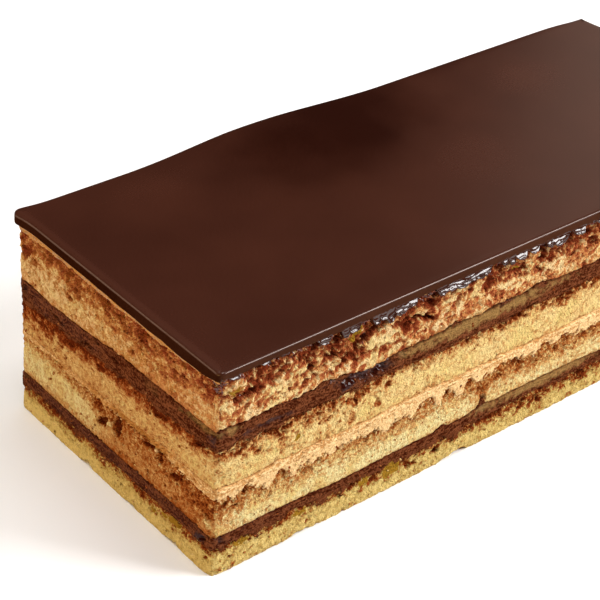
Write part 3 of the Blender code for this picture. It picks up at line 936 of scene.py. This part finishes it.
def painted_dark_reflection(x, y):
    """Painted reflection of the glaze near the back, darker: the exponential of minus the cube of the
    distance in an ellipse, with a fainter tail along the back edge, less four pale clouds of painted lighter
    reflection."""
    place = np.column_stack([x, y, np.zeros(len(x))])
    ragged = 0.16 * cloud(place, 14.0, 3, seed=93)
    leaning = x - POOL_X + POOL_LEAN * (LEANS_ABOUT - y)
    away = np.hypot(leaning / POOL_WIDE, (y - POOL_Y) / POOL_DEEP) + ragged
    tail = np.hypot((x - TAIL_X) / TAIL_WIDE, (y - TAIL_Y) / TAIL_DEEP) + ragged
    pale = sum(hump(x, *along) * hump(y, *across) for along, across in PALE_CLOUDS)
    deep = np.exp(-(np.maximum(away, 0.0) ** 3))
    return np.maximum(0.74 * deep, 0.3 * smooth(1.3, 0.3, tail)) - 0.13 * pale


def mound(x, y):
    """Low bell of height 1 near the bow of the back edge."""
    return hump(x, MOUND_X, MOUND_REACH) * hump(y, MOUND_Y, MOUND_REACH)


def glaze_mesh(name, bulging, mound_height):
    """Closed glaze: side and rim rings, coarser rings over the top to a hub, and a lid underneath."""
    rings, finish = glaze_rings(bulging)
    outer = inner_edge(TOP_INSET, TOP_COLUMNS)
    level = np.full(TOP_COLUMNS, HEIGHT)
    tops = [np.column_stack([outer * (1 - turn / TOP_RINGS), level]) for turn in range(TOP_RINGS)]
    points = np.vstack([rings.reshape(-1, 3), *tops, [[0.0, 0.0, HEIGHT]], lid_points(CREAM_TOP)])
    rise = mound_height * mound(points[:, 0], points[:, 1])
    points[:, 2] += rise * smooth(MOUND_FOOT, MOUND_FULL, points[:, 2])
    fine = len(rings) * COLUMNS
    hub = fine + len(tops) * TOP_COLUMNS
    faces = [
        grid_faces(len(rings), COLUMNS),
        bridge_faces(fine - COLUMNS, COLUMNS, fine, TOP_COLUMNS, True),
        grid_faces(len(tops), TOP_COLUMNS, fine),
        fan_faces(hub - TOP_COLUMNS, TOP_COLUMNS, hub, True),
        bridge_faces(0, COLUMNS, hub + 1, INNER_COLUMNS, False),
        fan_faces(hub + 1, INNER_COLUMNS, hub + 1 + INNER_COLUMNS, False),
    ]
    # The top is painted darker in a patch near the back and lighter in four clouds: painted reflection
    pool = painted_dark_reflection(points[:, 0], points[:, 1]) * (points[:, 2] > POOL_ABOVE)
    # The left side band is painted darker, as painted shade, and the left rim a little lighter, as painted
    # highlight, and rougher
    pool[:fine] += np.r_[np.tile(0.5 * LEFT, SIDE_ROWS), np.tile(-0.3 * LEFT, RIM_ROWS)]
    piece = new_object(name, points, faces, {"pool": pool})
    index = np.full(len(piece.data.polygons), POURED, np.int32)
    index[: (len(rings) - 1) * COLUMNS] = finish[:-1].ravel()
    piece.data.polygons.foreach_set("material_index", index)
    return piece


# ---- crumbs

# Name, slot of its material, layers it clings to, share of the number of crumbs, least and most radius,
# how much browner than the wall they are, and seed
Scatter = namedtuple("Scatter", "name slot sources share least most browner seed")
SPONGES = tuple(sheet.node for sheet in SHEETS)
GANACHES = ("lower_ganache", "upper_ganache")
SCATTERS = (
    Scatter("crumbs_pale", "second_sponge", SPONGES, 1, 0.1, 0.28, -0.12, 41),
    Scatter("crumbs_brown", "first_sponge", SPONGES, 1, 0.1, 0.3, 0.25, 42),
    Scatter("crumbs_on_ganache", "first_sponge", GANACHES, 0.05, 0.12, 0.3, 0.75, 43),
)


def ball():
    """Points and triangles of a ball: an octahedron with each edge split once, 32 faces."""
    tips = np.array([(1, 0, 0), (0, 1, 0), (-1, 0, 0), (0, -1, 0), (0, 0, 1), (0, 0, -1)], float)
    ring = [(here, (here + 1) % 4) for here in range(4)]
    sides = [(a, b, 4) for a, b in ring] + [(b, a, 5) for a, b in ring]
    points, faces, middle = list(tips), [], {}
    for a, b, c in sides:
        halves = []
        for pair in ((a, b), (b, c), (c, a)):
            key = tuple(sorted(pair))
            if key not in middle:
                middle[key] = len(points)
                half = tips[pair[0]] + tips[pair[1]]
                points.append(half / np.linalg.norm(half))
            halves.append(middle[key])
        ab, bc, ca = halves
        faces += [(a, ab, ca), (ab, b, bc), (ca, bc, c), (ab, bc, ca)]
    return np.array(points), np.array(faces)


def crumbs_mesh(scatter, total):
    """Little lumps half sunk in the walls: balls with uneven radii, stretched along the axes, at random
    grid points, that take the browning of the wall there, painted shade of its seams included."""
    rng = np.random.default_rng(scatter.seed)
    spots, tones = [], []
    for source in scatter.sources:
        wall, tone = WALLS[source]
        count = int(scatter.share * total) // len(scatter.sources)
        row = rng.integers(2, len(wall) - 2, count)
        column = rng.integers(0, COLUMNS, count)
        spots.append(wall[row, column])
        tones.append(tone[row, column])
    spots, tones = np.vstack(spots), np.concatenate(tones)
    base, faces = ball()
    size = scatter.least + (scatter.most - scatter.least) * rng.random(len(spots)) ** 2
    uneven = 1 + 0.3 * rng.normal(size=(len(spots), len(base), 1)).clip(-1.5, 1.5)
    stretch = rng.uniform(0.6, 1.3, size=(len(spots), 1, 3))
    points = spots[:, None] + base[None] * uneven * stretch * size[:, None, None]
    points = points.reshape(-1, 3)
    points[:, 2] = np.maximum(points[:, 2], 0.0)
    shift = np.arange(len(spots))[:, None, None] * len(base)
    triangles = (faces[None] + shift).reshape(-1, 3)
    tones = unit(np.repeat(tones, len(base)) + scatter.browner)
    fields = dict.fromkeys(CRUMB_FIELDS, np.zeros(len(points)))
    fields.update(browning=tones, coarse=np.ones(len(points)))
    return new_object(scatter.name, points, [triangles], fields)


# ---- materials


def link(tree, value, socket):
    """Links a socket, or sets a number or colour."""
    if isinstance(value, bpy.types.NodeSocket):
        tree.links.new(value, socket)
    elif hasattr(value, "__len__"):
        socket.default_value = (*value, 1.0)[: len(socket.default_value)]
    else:
        socket.default_value = value


def add(tree, kind, inputs=None, **settings):
    """New shader node with its settings and its inputs, which are named or numbered."""
    node = tree.nodes.new(kind)
    for key, value in settings.items():
        setattr(node, key, value)
    for key, value in (inputs or {}).items():
        link(tree, value, node.inputs[key])
    return node


def maths(tree, operation, *values, clamp=False):
    """Result of a Math node on the values."""
    node = add(tree, "ShaderNodeMath", dict(enumerate(values)), operation=operation, use_clamp=clamp)
    return node.outputs[0]


def blend(tree, factor, first, second, how="MIX"):
    """Result of a Mix node on two colours."""
    node = add(tree, "ShaderNodeMix", data_type="RGBA", blend_type=how)
    for index, value in ((0, factor), (6, first), (7, second)):
        link(tree, value, node.inputs[index])
    return node.outputs[2]


def grain(tree, size_mm, detail=2.0, stretch=None):
    """Noise about 0 whose cells measure size_mm, in Object coordinates, which stretch may scale."""
    place = tree.nodes.new("ShaderNodeTexCoord").outputs["Object"]
    if stretch:
        place = add(tree, "ShaderNodeMapping", {"Vector": place, "Scale": stretch}).outputs["Vector"]
    inputs = {"Vector": place, "Scale": 1 / (size_mm * MM), "Detail": detail, "Roughness": 0.6}
    return maths(tree, "SUBTRACT", add(tree, "ShaderNodeTexNoise", inputs).outputs["Fac"], 0.5)


def pinholes(tree, size_mm, radius):
    """1 in small round holes, one in each cell of size_mm, fading to 0 at radius times the cell."""
    place = tree.nodes.new("ShaderNodeTexCoord").outputs["Object"]
    cell = add(tree, "ShaderNodeTexVoronoi", {"Vector": place, "Scale": 1 / (size_mm * MM)})
    return maths(tree, "MULTIPLY_ADD", cell.outputs["Distance"], -1 / radius, 1.0, clamp=True)


def crumb_nodes(tree, given):
    """Finish of sponge from its browning, its cavity and what is spread over it: grain is added to the
    browning, which then picks one of four tones; pinholes and cavities darken it, as painted shade in the
    holes, broad patches are yellower, and amber spots and the spread go over it. Where the spread lies deep
    in a cavity it takes its deeper tone, which is painted shade too."""
    mad, times = partial(maths, tree, "MULTIPLY_ADD"), partial(maths, tree, "MULTIPLY")
    coarse = grain(tree, 0.9, 3.0)
    fine = grain(tree, 0.35)
    holes = pinholes(tree, 1.4, 0.17)
    rough = mad(fine, 0.8, coarse)
    tone = mad(rough, times(given["Grain"], given["Coarse"]), given["Browning"])
    # Pinholes and cavities darken the tone: painted shade in the holes
    tone = mad(given["Cavity"], 0.35, mad(holes, 0.25, tone))
    yellow = mad(grain(tree, 4.5), 4.0, 0.3, clamp=True)
    colour = blend(tree, yellow, given["Pale"], given["Yellow"])
    for index, name in enumerate(("Golden", "Brown", "Dark")):
        share = mad(tone, 3.0, -0.1 - index, clamp=True)
        colour = blend(tree, share, colour, given[name])
    amber = times(mad(coarse, 1.5, given["Amber"]), 2.6)
    colour = blend(tree, times(amber, given["Amber"], clamp=True), colour, given["Egg"])
    spread = mad(mad(rough, 0.9, given["Spread"]), 4.0, -1.5, clamp=True)
    # Deep in a cavity the spread takes its deeper tone: painted shade
    streak = mad(given["Cavity"], -1.2, mad(rough, 1.8, 0.62), clamp=True)
    colour = blend(tree, spread, colour, blend(tree, streak, given["Spread deep"], given["Spread light"]))
    gloss = mad(rough, 0.3, 0.8)
    dry = maths(tree, "SUBTRACT", 1.0, spread)
    gloss = mad(spread, given["Spread roughness"], times(gloss, dry), clamp=True)
    height = mad(holes, -0.8, rough)
    height = times(height, mad(dry, 0.5, 0.5))
    return colour, gloss, height, times(spread, given["Spread coat"])


def spread_nodes(tree, given):
    """Finish of a spread cream: its drag marks and grain mix two tones, then smears lighten it, fresh
    tears and the painted shade of the seams darken it, and fresh tears wet it."""
    mad, times = partial(maths, tree, "MULTIPLY_ADD"), partial(maths, tree, "MULTIPLY")
    patch = grain(tree, 2.4, 3.0, (0.4, 0.4, 1.0))
    fine = grain(tree, 0.4)
    streak = grain(tree, 0.5, 2.0, (0.22, 0.22, 1.0))
    tone = mad(streak, 2.2, mad(patch, 1.6, given["Drag"]))
    tone = mad(fine, 4.4, tone, clamp=True)
    colour = blend(tree, tone, given["Deep"], given["Light"])
    smear = times(mad(fine, 0.25, mad(patch, 0.5, given["Smear"])), 1.1)
    smear = times(smear, given["Smear"], clamp=True)
    smeared = blend(tree, 1.0, given["Smeared"], mad(fine, 1.0, 1.0), "MULTIPLY")
    colour = blend(tree, smear, colour, smeared)
    colour = blend(tree, given["Tear"], colour, given["Torn"])
    gloss = mad(fine, 0.25, given["Dry roughness"], clamp=True)
    return colour, gloss, mad(streak, 2.2, fine), times(given["Wet"], 0.35)


def chocolate_nodes(tree, given):
    """Finish of set chocolate: broad soft clouds, a painted dark reflection that also lowers the roughness,
    and a faint speckle.
    """
    mad = partial(maths, tree, "MULTIPLY_ADD")
    broad = grain(tree, 22.0, 2.5)
    speck = grain(tree, 0.35)
    # Subtracting this field darkens the tone: painted reflection on the top, painted shade on the left band
    tone = maths(tree, "SUBTRACT", mad(broad, given["Clouds"], 0.7), given["Pool"])
    tone = mad(speck, 0.5, tone, clamp=True)
    colour = blend(tree, tone, given["Deep"], given["Light"])
    gloss = mad(speck, 0.05, given["Base roughness"])
    return colour, mad(given["Pool"], -0.14, gloss, clamp=True), speck, 0.0


# Values and colours that each finish takes and the function that makes its nodes, then what all give
FINISHES = {
    "crumb_finish": (
        ("Browning", "Spread", "Cavity", "Amber", "Coarse", "Grain", "Spread roughness", "Spread coat"),
        ("Pale", "Golden", "Brown", "Dark", "Yellow", "Egg", "Spread light", "Spread deep"),
        crumb_nodes,
    ),
    "spread_finish": (
        ("Drag", "Tear", "Smear", "Wet", "Dry roughness"), ("Light", "Deep", "Torn", "Smeared"), spread_nodes,
    ),
    "chocolate_finish": (("Clouds", "Base roughness", "Pool"), ("Light", "Deep"), chocolate_nodes),
}
OUTPUTS = {
    "Color": "NodeSocketColor", "Roughness": "NodeSocketFloat", "Height": "NodeSocketFloat",
    "Coat": "NodeSocketFloat",
}


def finish_group(name):
    """Shader node group of that name, made once, with its inputs and with outputs for colour, roughness,
    height and coat weight. Its function makes the nodes and returns what goes to each output."""
    if name in bpy.data.node_groups:
        return bpy.data.node_groups[name]
    values, colours, build = FINISHES[name]
    tree = bpy.data.node_groups.new(name, "ShaderNodeTree")
    for socket in values:
        tree.interface.new_socket(socket, in_out="INPUT", socket_type="NodeSocketFloat")
    for socket in colours:
        tree.interface.new_socket(socket, in_out="INPUT", socket_type="NodeSocketColor")
    for socket, kind in OUTPUTS.items():
        tree.interface.new_socket(socket, in_out="OUTPUT", socket_type=kind)
    given = tree.nodes.new("NodeGroupInput").outputs
    end = tree.nodes.new("NodeGroupOutput")
    for socket, result in zip(OUTPUTS, build(tree, given)):
        link(tree, result, end.inputs[socket])
    return tree


def finish_material(name, finish, values, fields=(), bump_mm=0.05, **shader_values):
    """Principled material fed by a finish group: values set on the group, fields read from attributes,
    whose sockets bear their names, and constants set on the shader."""
    material = bpy.data.materials.new(name)
    material.use_nodes = True
    tree = material.node_tree
    shader = tree.nodes["Principled BSDF"].inputs
    group = add(tree, "ShaderNodeGroup", node_tree=finish_group(finish))
    for socket, value in values.items():
        link(tree, value, group.inputs[socket])
    for field in fields:
        source = add(tree, "ShaderNodeAttribute", attribute_name=field)
        link(tree, source.outputs["Fac"], group.inputs[field.capitalize()])
    bump = add(tree, "ShaderNodeBump", {"Height": group.outputs["Height"], "Distance": bump_mm * MM})
    link(tree, group.outputs["Color"], shader["Base Color"])
    link(tree, group.outputs["Roughness"], shader["Roughness"])
    link(tree, group.outputs["Coat"], shader["Coat Weight"])
    link(tree, bump.outputs["Normal"], shader["Normal"])
    for socket, value in shader_values.items():
        shader[socket.replace("_", " ")].default_value = value
    return material


# ---- settings


def colour_setting(name, description, *screen):
    """Colour property whose default is given as a screen colour."""
    return FloatVectorProperty(
        name=name, description=description, subtype="COLOR", size=3, min=0.0, max=1.0, default=srgb(*screen)
    )


def share_setting(name, description, default, most=1.0):
    """Property that runs from 0."""
    return FloatProperty(name=name, description=description, default=default, min=0.0, max=most)


def angle_setting(name, description, degrees):
    """Angle property whose default is given in degrees."""
    return FloatProperty(name=name, description=description, subtype="ANGLE", default=math.radians(degrees))


class CakeChocolate(bpy.types.PropertyGroup):
    """Chocolate of the glaze and of the ganaches."""

    glaze_light: colour_setting("Glaze", "Lighter tone of the set glaze", 62, 29, 17)
    # The deep glaze tone also paints the dark reflection of the top
    glaze_deep: colour_setting("Glaze, deep", "Darker tone of the set glaze", 33, 6, 0)
    glaze_cut: colour_setting("Cut glaze", "Glaze where a knife went through it", 76, 45, 31)
    ganache_light: colour_setting("Ganache", "Lighter tone of the ganache", 124, 70, 42)
    ganache_deep: colour_setting("Ganache, deep", "Darker tone of the ganache", 64, 23, 8)
    torn: colour_setting("Torn ganache", "Freshly torn chocolate", 52, 14, 7)
    glaze_roughness: share_setting("Glaze roughness", "Roughness of the poured top", 0.26)
    bead_roughness: share_setting("Bead roughness", "Roughness of the beads under the rim", 0.13)
    rim_roughness: share_setting("Rim roughness", "Roughness of the rounded rim", 0.24)
    ganache_roughness: share_setting("Ganache roughness", "Roughness of the cut ganache", 0.45)


class CakeCream(bpy.types.PropertyGroup):
    """Coffee buttercream and the smears that it leaves."""

    light: colour_setting("Cream", "Lighter tone of the coffee buttercream", 250, 214, 156)
    deep: colour_setting("Cream, deep", "Darker tone of the coffee buttercream", 204, 148, 90)
    crumbed: colour_setting("Crumb in cream", "Cream mixed with browned crumb", 204, 142, 76)
    veil: colour_setting("Cream under the glaze", "Thin top buttercream, stained by the glaze", 192, 150, 114)
    smeared: colour_setting("Smear", "Cream and crumb dragged over ganache", 150, 113, 66)
    roughness: share_setting("Roughness", "Roughness of the buttercream", 0.5)


class CakeCrumb(bpy.types.PropertyGroup):
    """Almond sponge, from its pale middle to its baked top."""

    pale: colour_setting("Pale crumb", "Least browned sponge", 250, 218, 148)
    yellow: colour_setting("Yellow crumb", "Pale sponge where it is richer in egg", 242, 211, 133)
    rosy: colour_setting("Rosy crumb", "Pale sponge of the top sheet", 252, 217, 160)
    creamy: colour_setting("Creamy crumb", "Pale sponge under the coffee buttercream", 248, 230, 166)
    golden: colour_setting("Golden crumb", "Sponge that took up syrup", 213, 156, 92)
    toasted: colour_setting("Toasted crumb", "The same in the top sheet", 214, 146, 84)
    mellow: colour_setting("Mellow crumb", "The same in the bottom sheet", 208, 172, 97)
    amber: colour_setting("Amber spots", "Where egg and syrup gathered", 168, 124, 40)
    caramel: colour_setting("Caramel crumb", "Baked crust under the coffee buttercream", 172, 92, 38)
    brown: colour_setting("Browned crumb", "Baked crust", 164, 80, 34)
    top_crust: colour_setting("Top crust", "Darkest crust of the top sheet", 140, 60, 32)
    rust: colour_setting("Rusty crumb", "Baked crust of the top sheet, under the glaze", 182, 97, 57)
    dark: colour_setting("Dark crust", "Darkest crust", 108, 42, 16)
    grain: share_setting("Grain", "How strongly fine grain changes the browning", 1.8, 3.0)


class CakeShape(bpy.types.PropertyGroup):
    """How rough the cut is, and how thickly the glaze ran."""

    relief: share_setting("Crumb relief", "How deeply the crumb is torn, where 1 is as designed", 1.0, 2.0)
    bulging: share_setting("Bead swell", "How far the beads stand out, where 1 is as designed", 1.0, 1.5)
    mound: FloatProperty(
        name="Mound", description="Height of the low mound in the glaze at the back", subtype="DISTANCE",
        unit="LENGTH", default=0.35 * MM, min=0.0, max=1.0 * MM, precision=5,
    )
    crumbs: IntProperty(
        name="Crumbs", description="How many loose crumbs of each tone cling to the sides",
        default=1200, min=80, max=4000,
    )


class CakeStage(bpy.types.PropertyGroup):
    """Floor, lamps and camera."""

    floor: colour_setting("Floor", "Colour of the floor", 250, 250, 250)
    azimuth: angle_setting("Azimuth", "Camera's turn round the cake, from the front", -41.6)
    elevation: angle_setting("Elevation", "Camera's height above the horizon", 34.09)
    roll: angle_setting("Roll", "Camera's turn about its own axis", 3.8)
    distance: FloatProperty(
        name="Distance", description="From the camera to its target", subtype="DISTANCE", unit="LENGTH",
        default=0.3369,
    )
    target: FloatVectorProperty(
        name="Target", description="Point that the camera looks at", subtype="XYZ", unit="LENGTH", size=3,
        default=(-0.0273, 0.0022, 0.021),
    )
    lens: FloatProperty(
        name="Lens", description="Focal length in millimetres on a 36 mm sensor", default=110.5, min=10.0
    )
    key_power: share_setting("Key lamp", "Power of the main lamp in watts", 7.1, 100.0)
    overhead_power: share_setting("Overhead lamp", "Power of the lamp above in watts", 3.8, 100.0)
    side_power: share_setting("Side lamp", "Power of the lamp over the left end in watts", 1.5, 100.0)
    fill_power: share_setting("Fill lamp", "Power of the warm lamp on the left in watts", 1.4, 100.0)
    rim_power: share_setting("Rim lamp", "Power of the warm lamp behind the left end in watts", 1.4, 100.0)
    haze_power: share_setting("Haze lamp", "Power of the lamp that the glaze mirrors", 0.57, 100.0)
    sky: share_setting("Surroundings", "Brightness of the surroundings", 0.04, 10.0)


# ---- operators


def mount(piece, node, slot, *materials):
    """Gives a piece its materials and ties it to the frame, as the finished form of a node if one is
    named."""
    for material in materials:
        piece.data.materials.append(material)
    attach(piece, "root")
    if node:
        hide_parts(node)


# Settings that give the tones of the sponges, then what differs in each sheet
TONES = {
    "Pale": "pale", "Golden": "golden", "Brown": "brown", "Dark": "dark", "Yellow": "yellow", "Egg": "amber",
    "Grain": "grain",
}
SHEET_TONES = {
    "bottom_sponge": {"Pale": "yellow", "Golden": "mellow"},
    "third_sponge": {"Pale": "creamy", "Brown": "caramel"},
    "first_sponge": {
        "Pale": "rosy", "Yellow": "pale", "Golden": "toasted", "Brown": "rust", "Dark": "top_crust",
    },
}


def crumb_material(name, scene):
    """Sponge finish with the tones of one sheet, and over it ganache, or coffee buttercream on the third
    sheet and what the glaze soaked on the first."""
    look, chocolate, cream = scene.cake_crumb, scene.cake_chocolate, scene.cake_cream
    tones = {**TONES, **SHEET_TONES.get(name, {})}
    values = {socket: getattr(look, tone) for socket, tone in tones.items()}
    over = chocolate.ganache_light, chocolate.ganache_deep, chocolate.ganache_roughness, 0.0
    if name == "third_sponge":
        over = cream.light, cream.deep, cream.roughness, 0.0
    if name == "first_sponge":
        over = look.brown, look.dark, chocolate.ganache_roughness, 1.0
    values.update(zip(("Spread light", "Spread deep", "Spread roughness", "Spread coat"), over))
    settings = {"Specular_IOR_Level": 0.0, "Coat_Roughness": 0.15}
    return finish_material(name, "crumb_finish", values, CRUMB_FIELDS, 1.0, **settings)


class CAKE_OT_sponges(bpy.types.Operator):
    """Make the four almond sponge sheets"""

    bl_idname = "cake.sponges"
    bl_label = "Sponge sheets"

    def execute(self, context):
        for sheet in SHEETS:
            wall, fields = sponge_wall(sheet, context.scene.cake_shape.relief)
            piece = slab(sheet.node + "_crumb", wall, sheet.lower, fields)
            mount(piece, sheet.node, sheet.node, crumb_material(sheet.node, context.scene))
        return {"FINISHED"}


class CAKE_OT_fillings(bpy.types.Operator):
    """Make the two ganaches and the two buttercreams"""

    bl_idname = "cake.fillings"
    bl_label = "Ganaches and buttercreams"

    def execute(self, context):
        chocolate, cream = context.scene.cake_chocolate, context.scene.cake_cream
        dark = {
            "Light": chocolate.ganache_light, "Deep": chocolate.ganache_deep, "Torn": chocolate.torn,
            "Smeared": cream.smeared, "Dry roughness": chocolate.ganache_roughness,
        }
        coffee = {
            "Light": cream.light, "Deep": cream.deep, "Torn": cream.crumbed, "Smeared": cream.crumbed,
            "Dry roughness": cream.roughness,
        }
        veil = {**coffee, "Light": cream.veil, "Deep": cream.crumbed}
        settings = {"bump_mm": 0.4, "Specular_IOR_Level": 0.0, "Coat_Roughness": 0.12}
        for filling in FILLINGS:
            wall, fields = filling_wall(filling)
            piece = slab(filling.node + "_spread", wall, filling.lower, fields)
            slot, values = "coffee_buttercream", coffee
            if "ganache" in filling.node:
                slot, values = "dark_ganache", dark
            if filling.node == "top_buttercream":
                values = veil
            material = finish_material(filling.node, "spread_finish", values, SPREAD_FIELDS, **settings)
            mount(piece, filling.node, slot, material)
        return {"FINISHED"}


class CAKE_OT_glaze(bpy.types.Operator):
    """Make the chocolate glaze with its rim and beads"""

    bl_idname = "cake.glaze"
    bl_label = "Chocolate glaze"

    def execute(self, context):
        look, shape = context.scene.cake_chocolate, context.scene.cake_shape
        poured = {
            "Light": look.glaze_light, "Deep": look.glaze_deep, "Base roughness": look.glaze_roughness,
            "Clouds": 0.8,
        }
        cut = {**poured, "Base roughness": 0.6, "Light": look.glaze_cut}
        bead = {**poured, "Base roughness": look.bead_roughness}
        rim = {**poured, "Base roughness": look.rim_roughness}
        finish, pool = "chocolate_finish", ("pool",)
        tint = {"Specular_IOR_Level": 0.4, "Specular_Tint": (1.0, 0.84, 0.76, 1.0)}
        materials = (
            finish_material("glaze_poured", finish, poured, pool, 0.002, Specular_IOR_Level=0.35),
            finish_material("glaze_cut", finish, cut, pool, 0.03, Specular_IOR_Level=0.0),
            finish_material("glaze_bead", finish, bead, (), 0.01, Specular_IOR_Level=0.5),
            finish_material("glaze_rim", finish, rim, pool, 0.01, **tint),
        )
        piece = glaze_mesh("glaze_coat", shape.bulging, shape.mound / MM)
        mount(piece, "chocolate_glaze", "dark_chocolate_glaze", *materials)
        return {"FINISHED"}


class CAKE_OT_crumbs(bpy.types.Operator):
    """Make the loose crumbs that cling to the cut sides"""

    bl_idname = "cake.crumbs"
    bl_label = "Crumbs"

    def execute(self, context):
        for scatter in SCATTERS:
            piece = crumbs_mesh(scatter, context.scene.cake_shape.crumbs)
            mount(piece, None, scatter.slot, crumb_material(scatter.name, context.scene))
        return {"FINISHED"}


FLOOR_REACH, CLIP_START = 3.0, 0.01
WHITE, MIDDLE = (1.0, 1.0, 1.0), (0.0, 0.0, 0.02)
# Name, place, size, colour and target of each square lamp, whose power is a setting
LAMPS = (
    ("key", (0.42, -0.44, 0.5), 0.34, WHITE, MIDDLE),
    ("overhead", (0.0, 0.05, 0.8), 0.6, WHITE, MIDDLE),
    ("side", (-0.2, -0.06, 0.75), 0.3, WHITE, (-0.2, -0.06, 0.0)),
    ("fill", (-0.75, -0.02, 0.13), 0.24, (1.0, 0.68, 0.22), MIDDLE),
    ("rim", (-0.63, 0.55, 0.32), 0.3, (1.0, 0.78, 0.55), MIDDLE),
    ("haze", (0.76, 0.34, 0.41), 0.45, (1.0, 0.76, 0.62), MIDDLE),
)


class CAKE_OT_stage(bpy.types.Operator):
    """Lay the floor, set the lamps and aim the camera"""

    bl_idname = "cake.stage"
    bl_label = "Stage"

    def execute(self, context):
        look, scene = context.scene.cake_stage, context.scene
        mesh = bpy.data.meshes.new("floor")
        corners = [(FLOOR_REACH * x, FLOOR_REACH * y, 0) for x, y in ((-1, -1), (1, -1), (1, 1), (-1, 1))]
        mesh.from_pydata(corners, [], [(0, 1, 2, 3)])
        floor = place_object("floor", mesh)
        material = bpy.data.materials.new("floor")
        material.use_nodes = True
        shader = material.node_tree.nodes["Principled BSDF"]
        shader.inputs["Base Color"].default_value = (*look.floor, 1.0)
        shader.inputs["Roughness"].default_value = 0.9
        mesh.materials.append(material)
        for name, place, size, colour, target in LAMPS:
            light = bpy.data.lights.new(name, "AREA")
            light.size = size
            light.energy = getattr(look, name + "_power")
            light.color = colour
            made = place_object(name, light)
            made.location = place
            made.rotation_euler = (Vector(target) - Vector(place)).to_track_quat("-Z", "Y").to_euler()
        scene.world = bpy.data.worlds.new("studio")
        scene.world.use_nodes = True
        surroundings = scene.world.node_tree.nodes["Background"].inputs
        surroundings["Color"].default_value = (*WHITE, 1.0)
        surroundings["Strength"].default_value = look.sky
        scene.view_settings.view_transform = "Standard"
        camera = bpy.data.cameras.new("camera")
        camera.lens = look.lens
        camera.clip_start = CLIP_START
        scene.camera = place_object("camera", camera)
        level, up = math.cos(look.elevation), math.sin(look.elevation)
        back = Vector((math.sin(look.azimuth) * level, -math.cos(look.azimuth) * level, up))
        scene.camera.location = Vector(look.target) + look.distance * back
        aim = (-back).to_track_quat("-Z", "Y").to_matrix().to_4x4()
        scene.camera.rotation_euler = (aim @ Matrix.Rotation(look.roll, 4, "Z")).to_euler()
        return {"FINISHED"}


class CAKE_PT_panel(bpy.types.Panel):
    """Sidebar panel with the cake's settings and steps"""

    bl_idname = "CAKE_PT_panel"
    bl_label = "Opera cake"
    bl_space_type = "VIEW_3D"
    bl_region_type = "UI"
    bl_category = "Cake"

    def draw(self, context):
        for name, kind in SETTINGS.items():
            box = self.layout.box()
            for key in kind.__annotations__:
                box.prop(getattr(context.scene, name), key)
        for step in STEPS:
            self.layout.operator(step.bl_idname)


SETTINGS = {
    "cake_chocolate": CakeChocolate,
    "cake_cream": CakeCream,
    "cake_crumb": CakeCrumb,
    "cake_shape": CakeShape,
    "cake_stage": CakeStage,
}
STEPS = (CAKE_OT_sponges, CAKE_OT_fillings, CAKE_OT_glaze, CAKE_OT_crumbs, CAKE_OT_stage)


def register():
    for kind in (*SETTINGS.values(), *STEPS, CAKE_PT_panel):
        bpy.utils.register_class(kind)
    for name, kind in SETTINGS.items():
        setattr(bpy.types.Scene, name, PointerProperty(type=kind))


def unregister():
    for name in SETTINGS:
        delattr(bpy.types.Scene, name)
    for kind in reversed((*SETTINGS.values(), *STEPS, CAKE_PT_panel)):
        bpy.utils.unregister_class(kind)


def main():
    register()
    for step in STEPS:
        area, verb = step.bl_idname.split(".")
        getattr(getattr(bpy.ops, area), verb)()


if __name__ == "__main__":
    main()
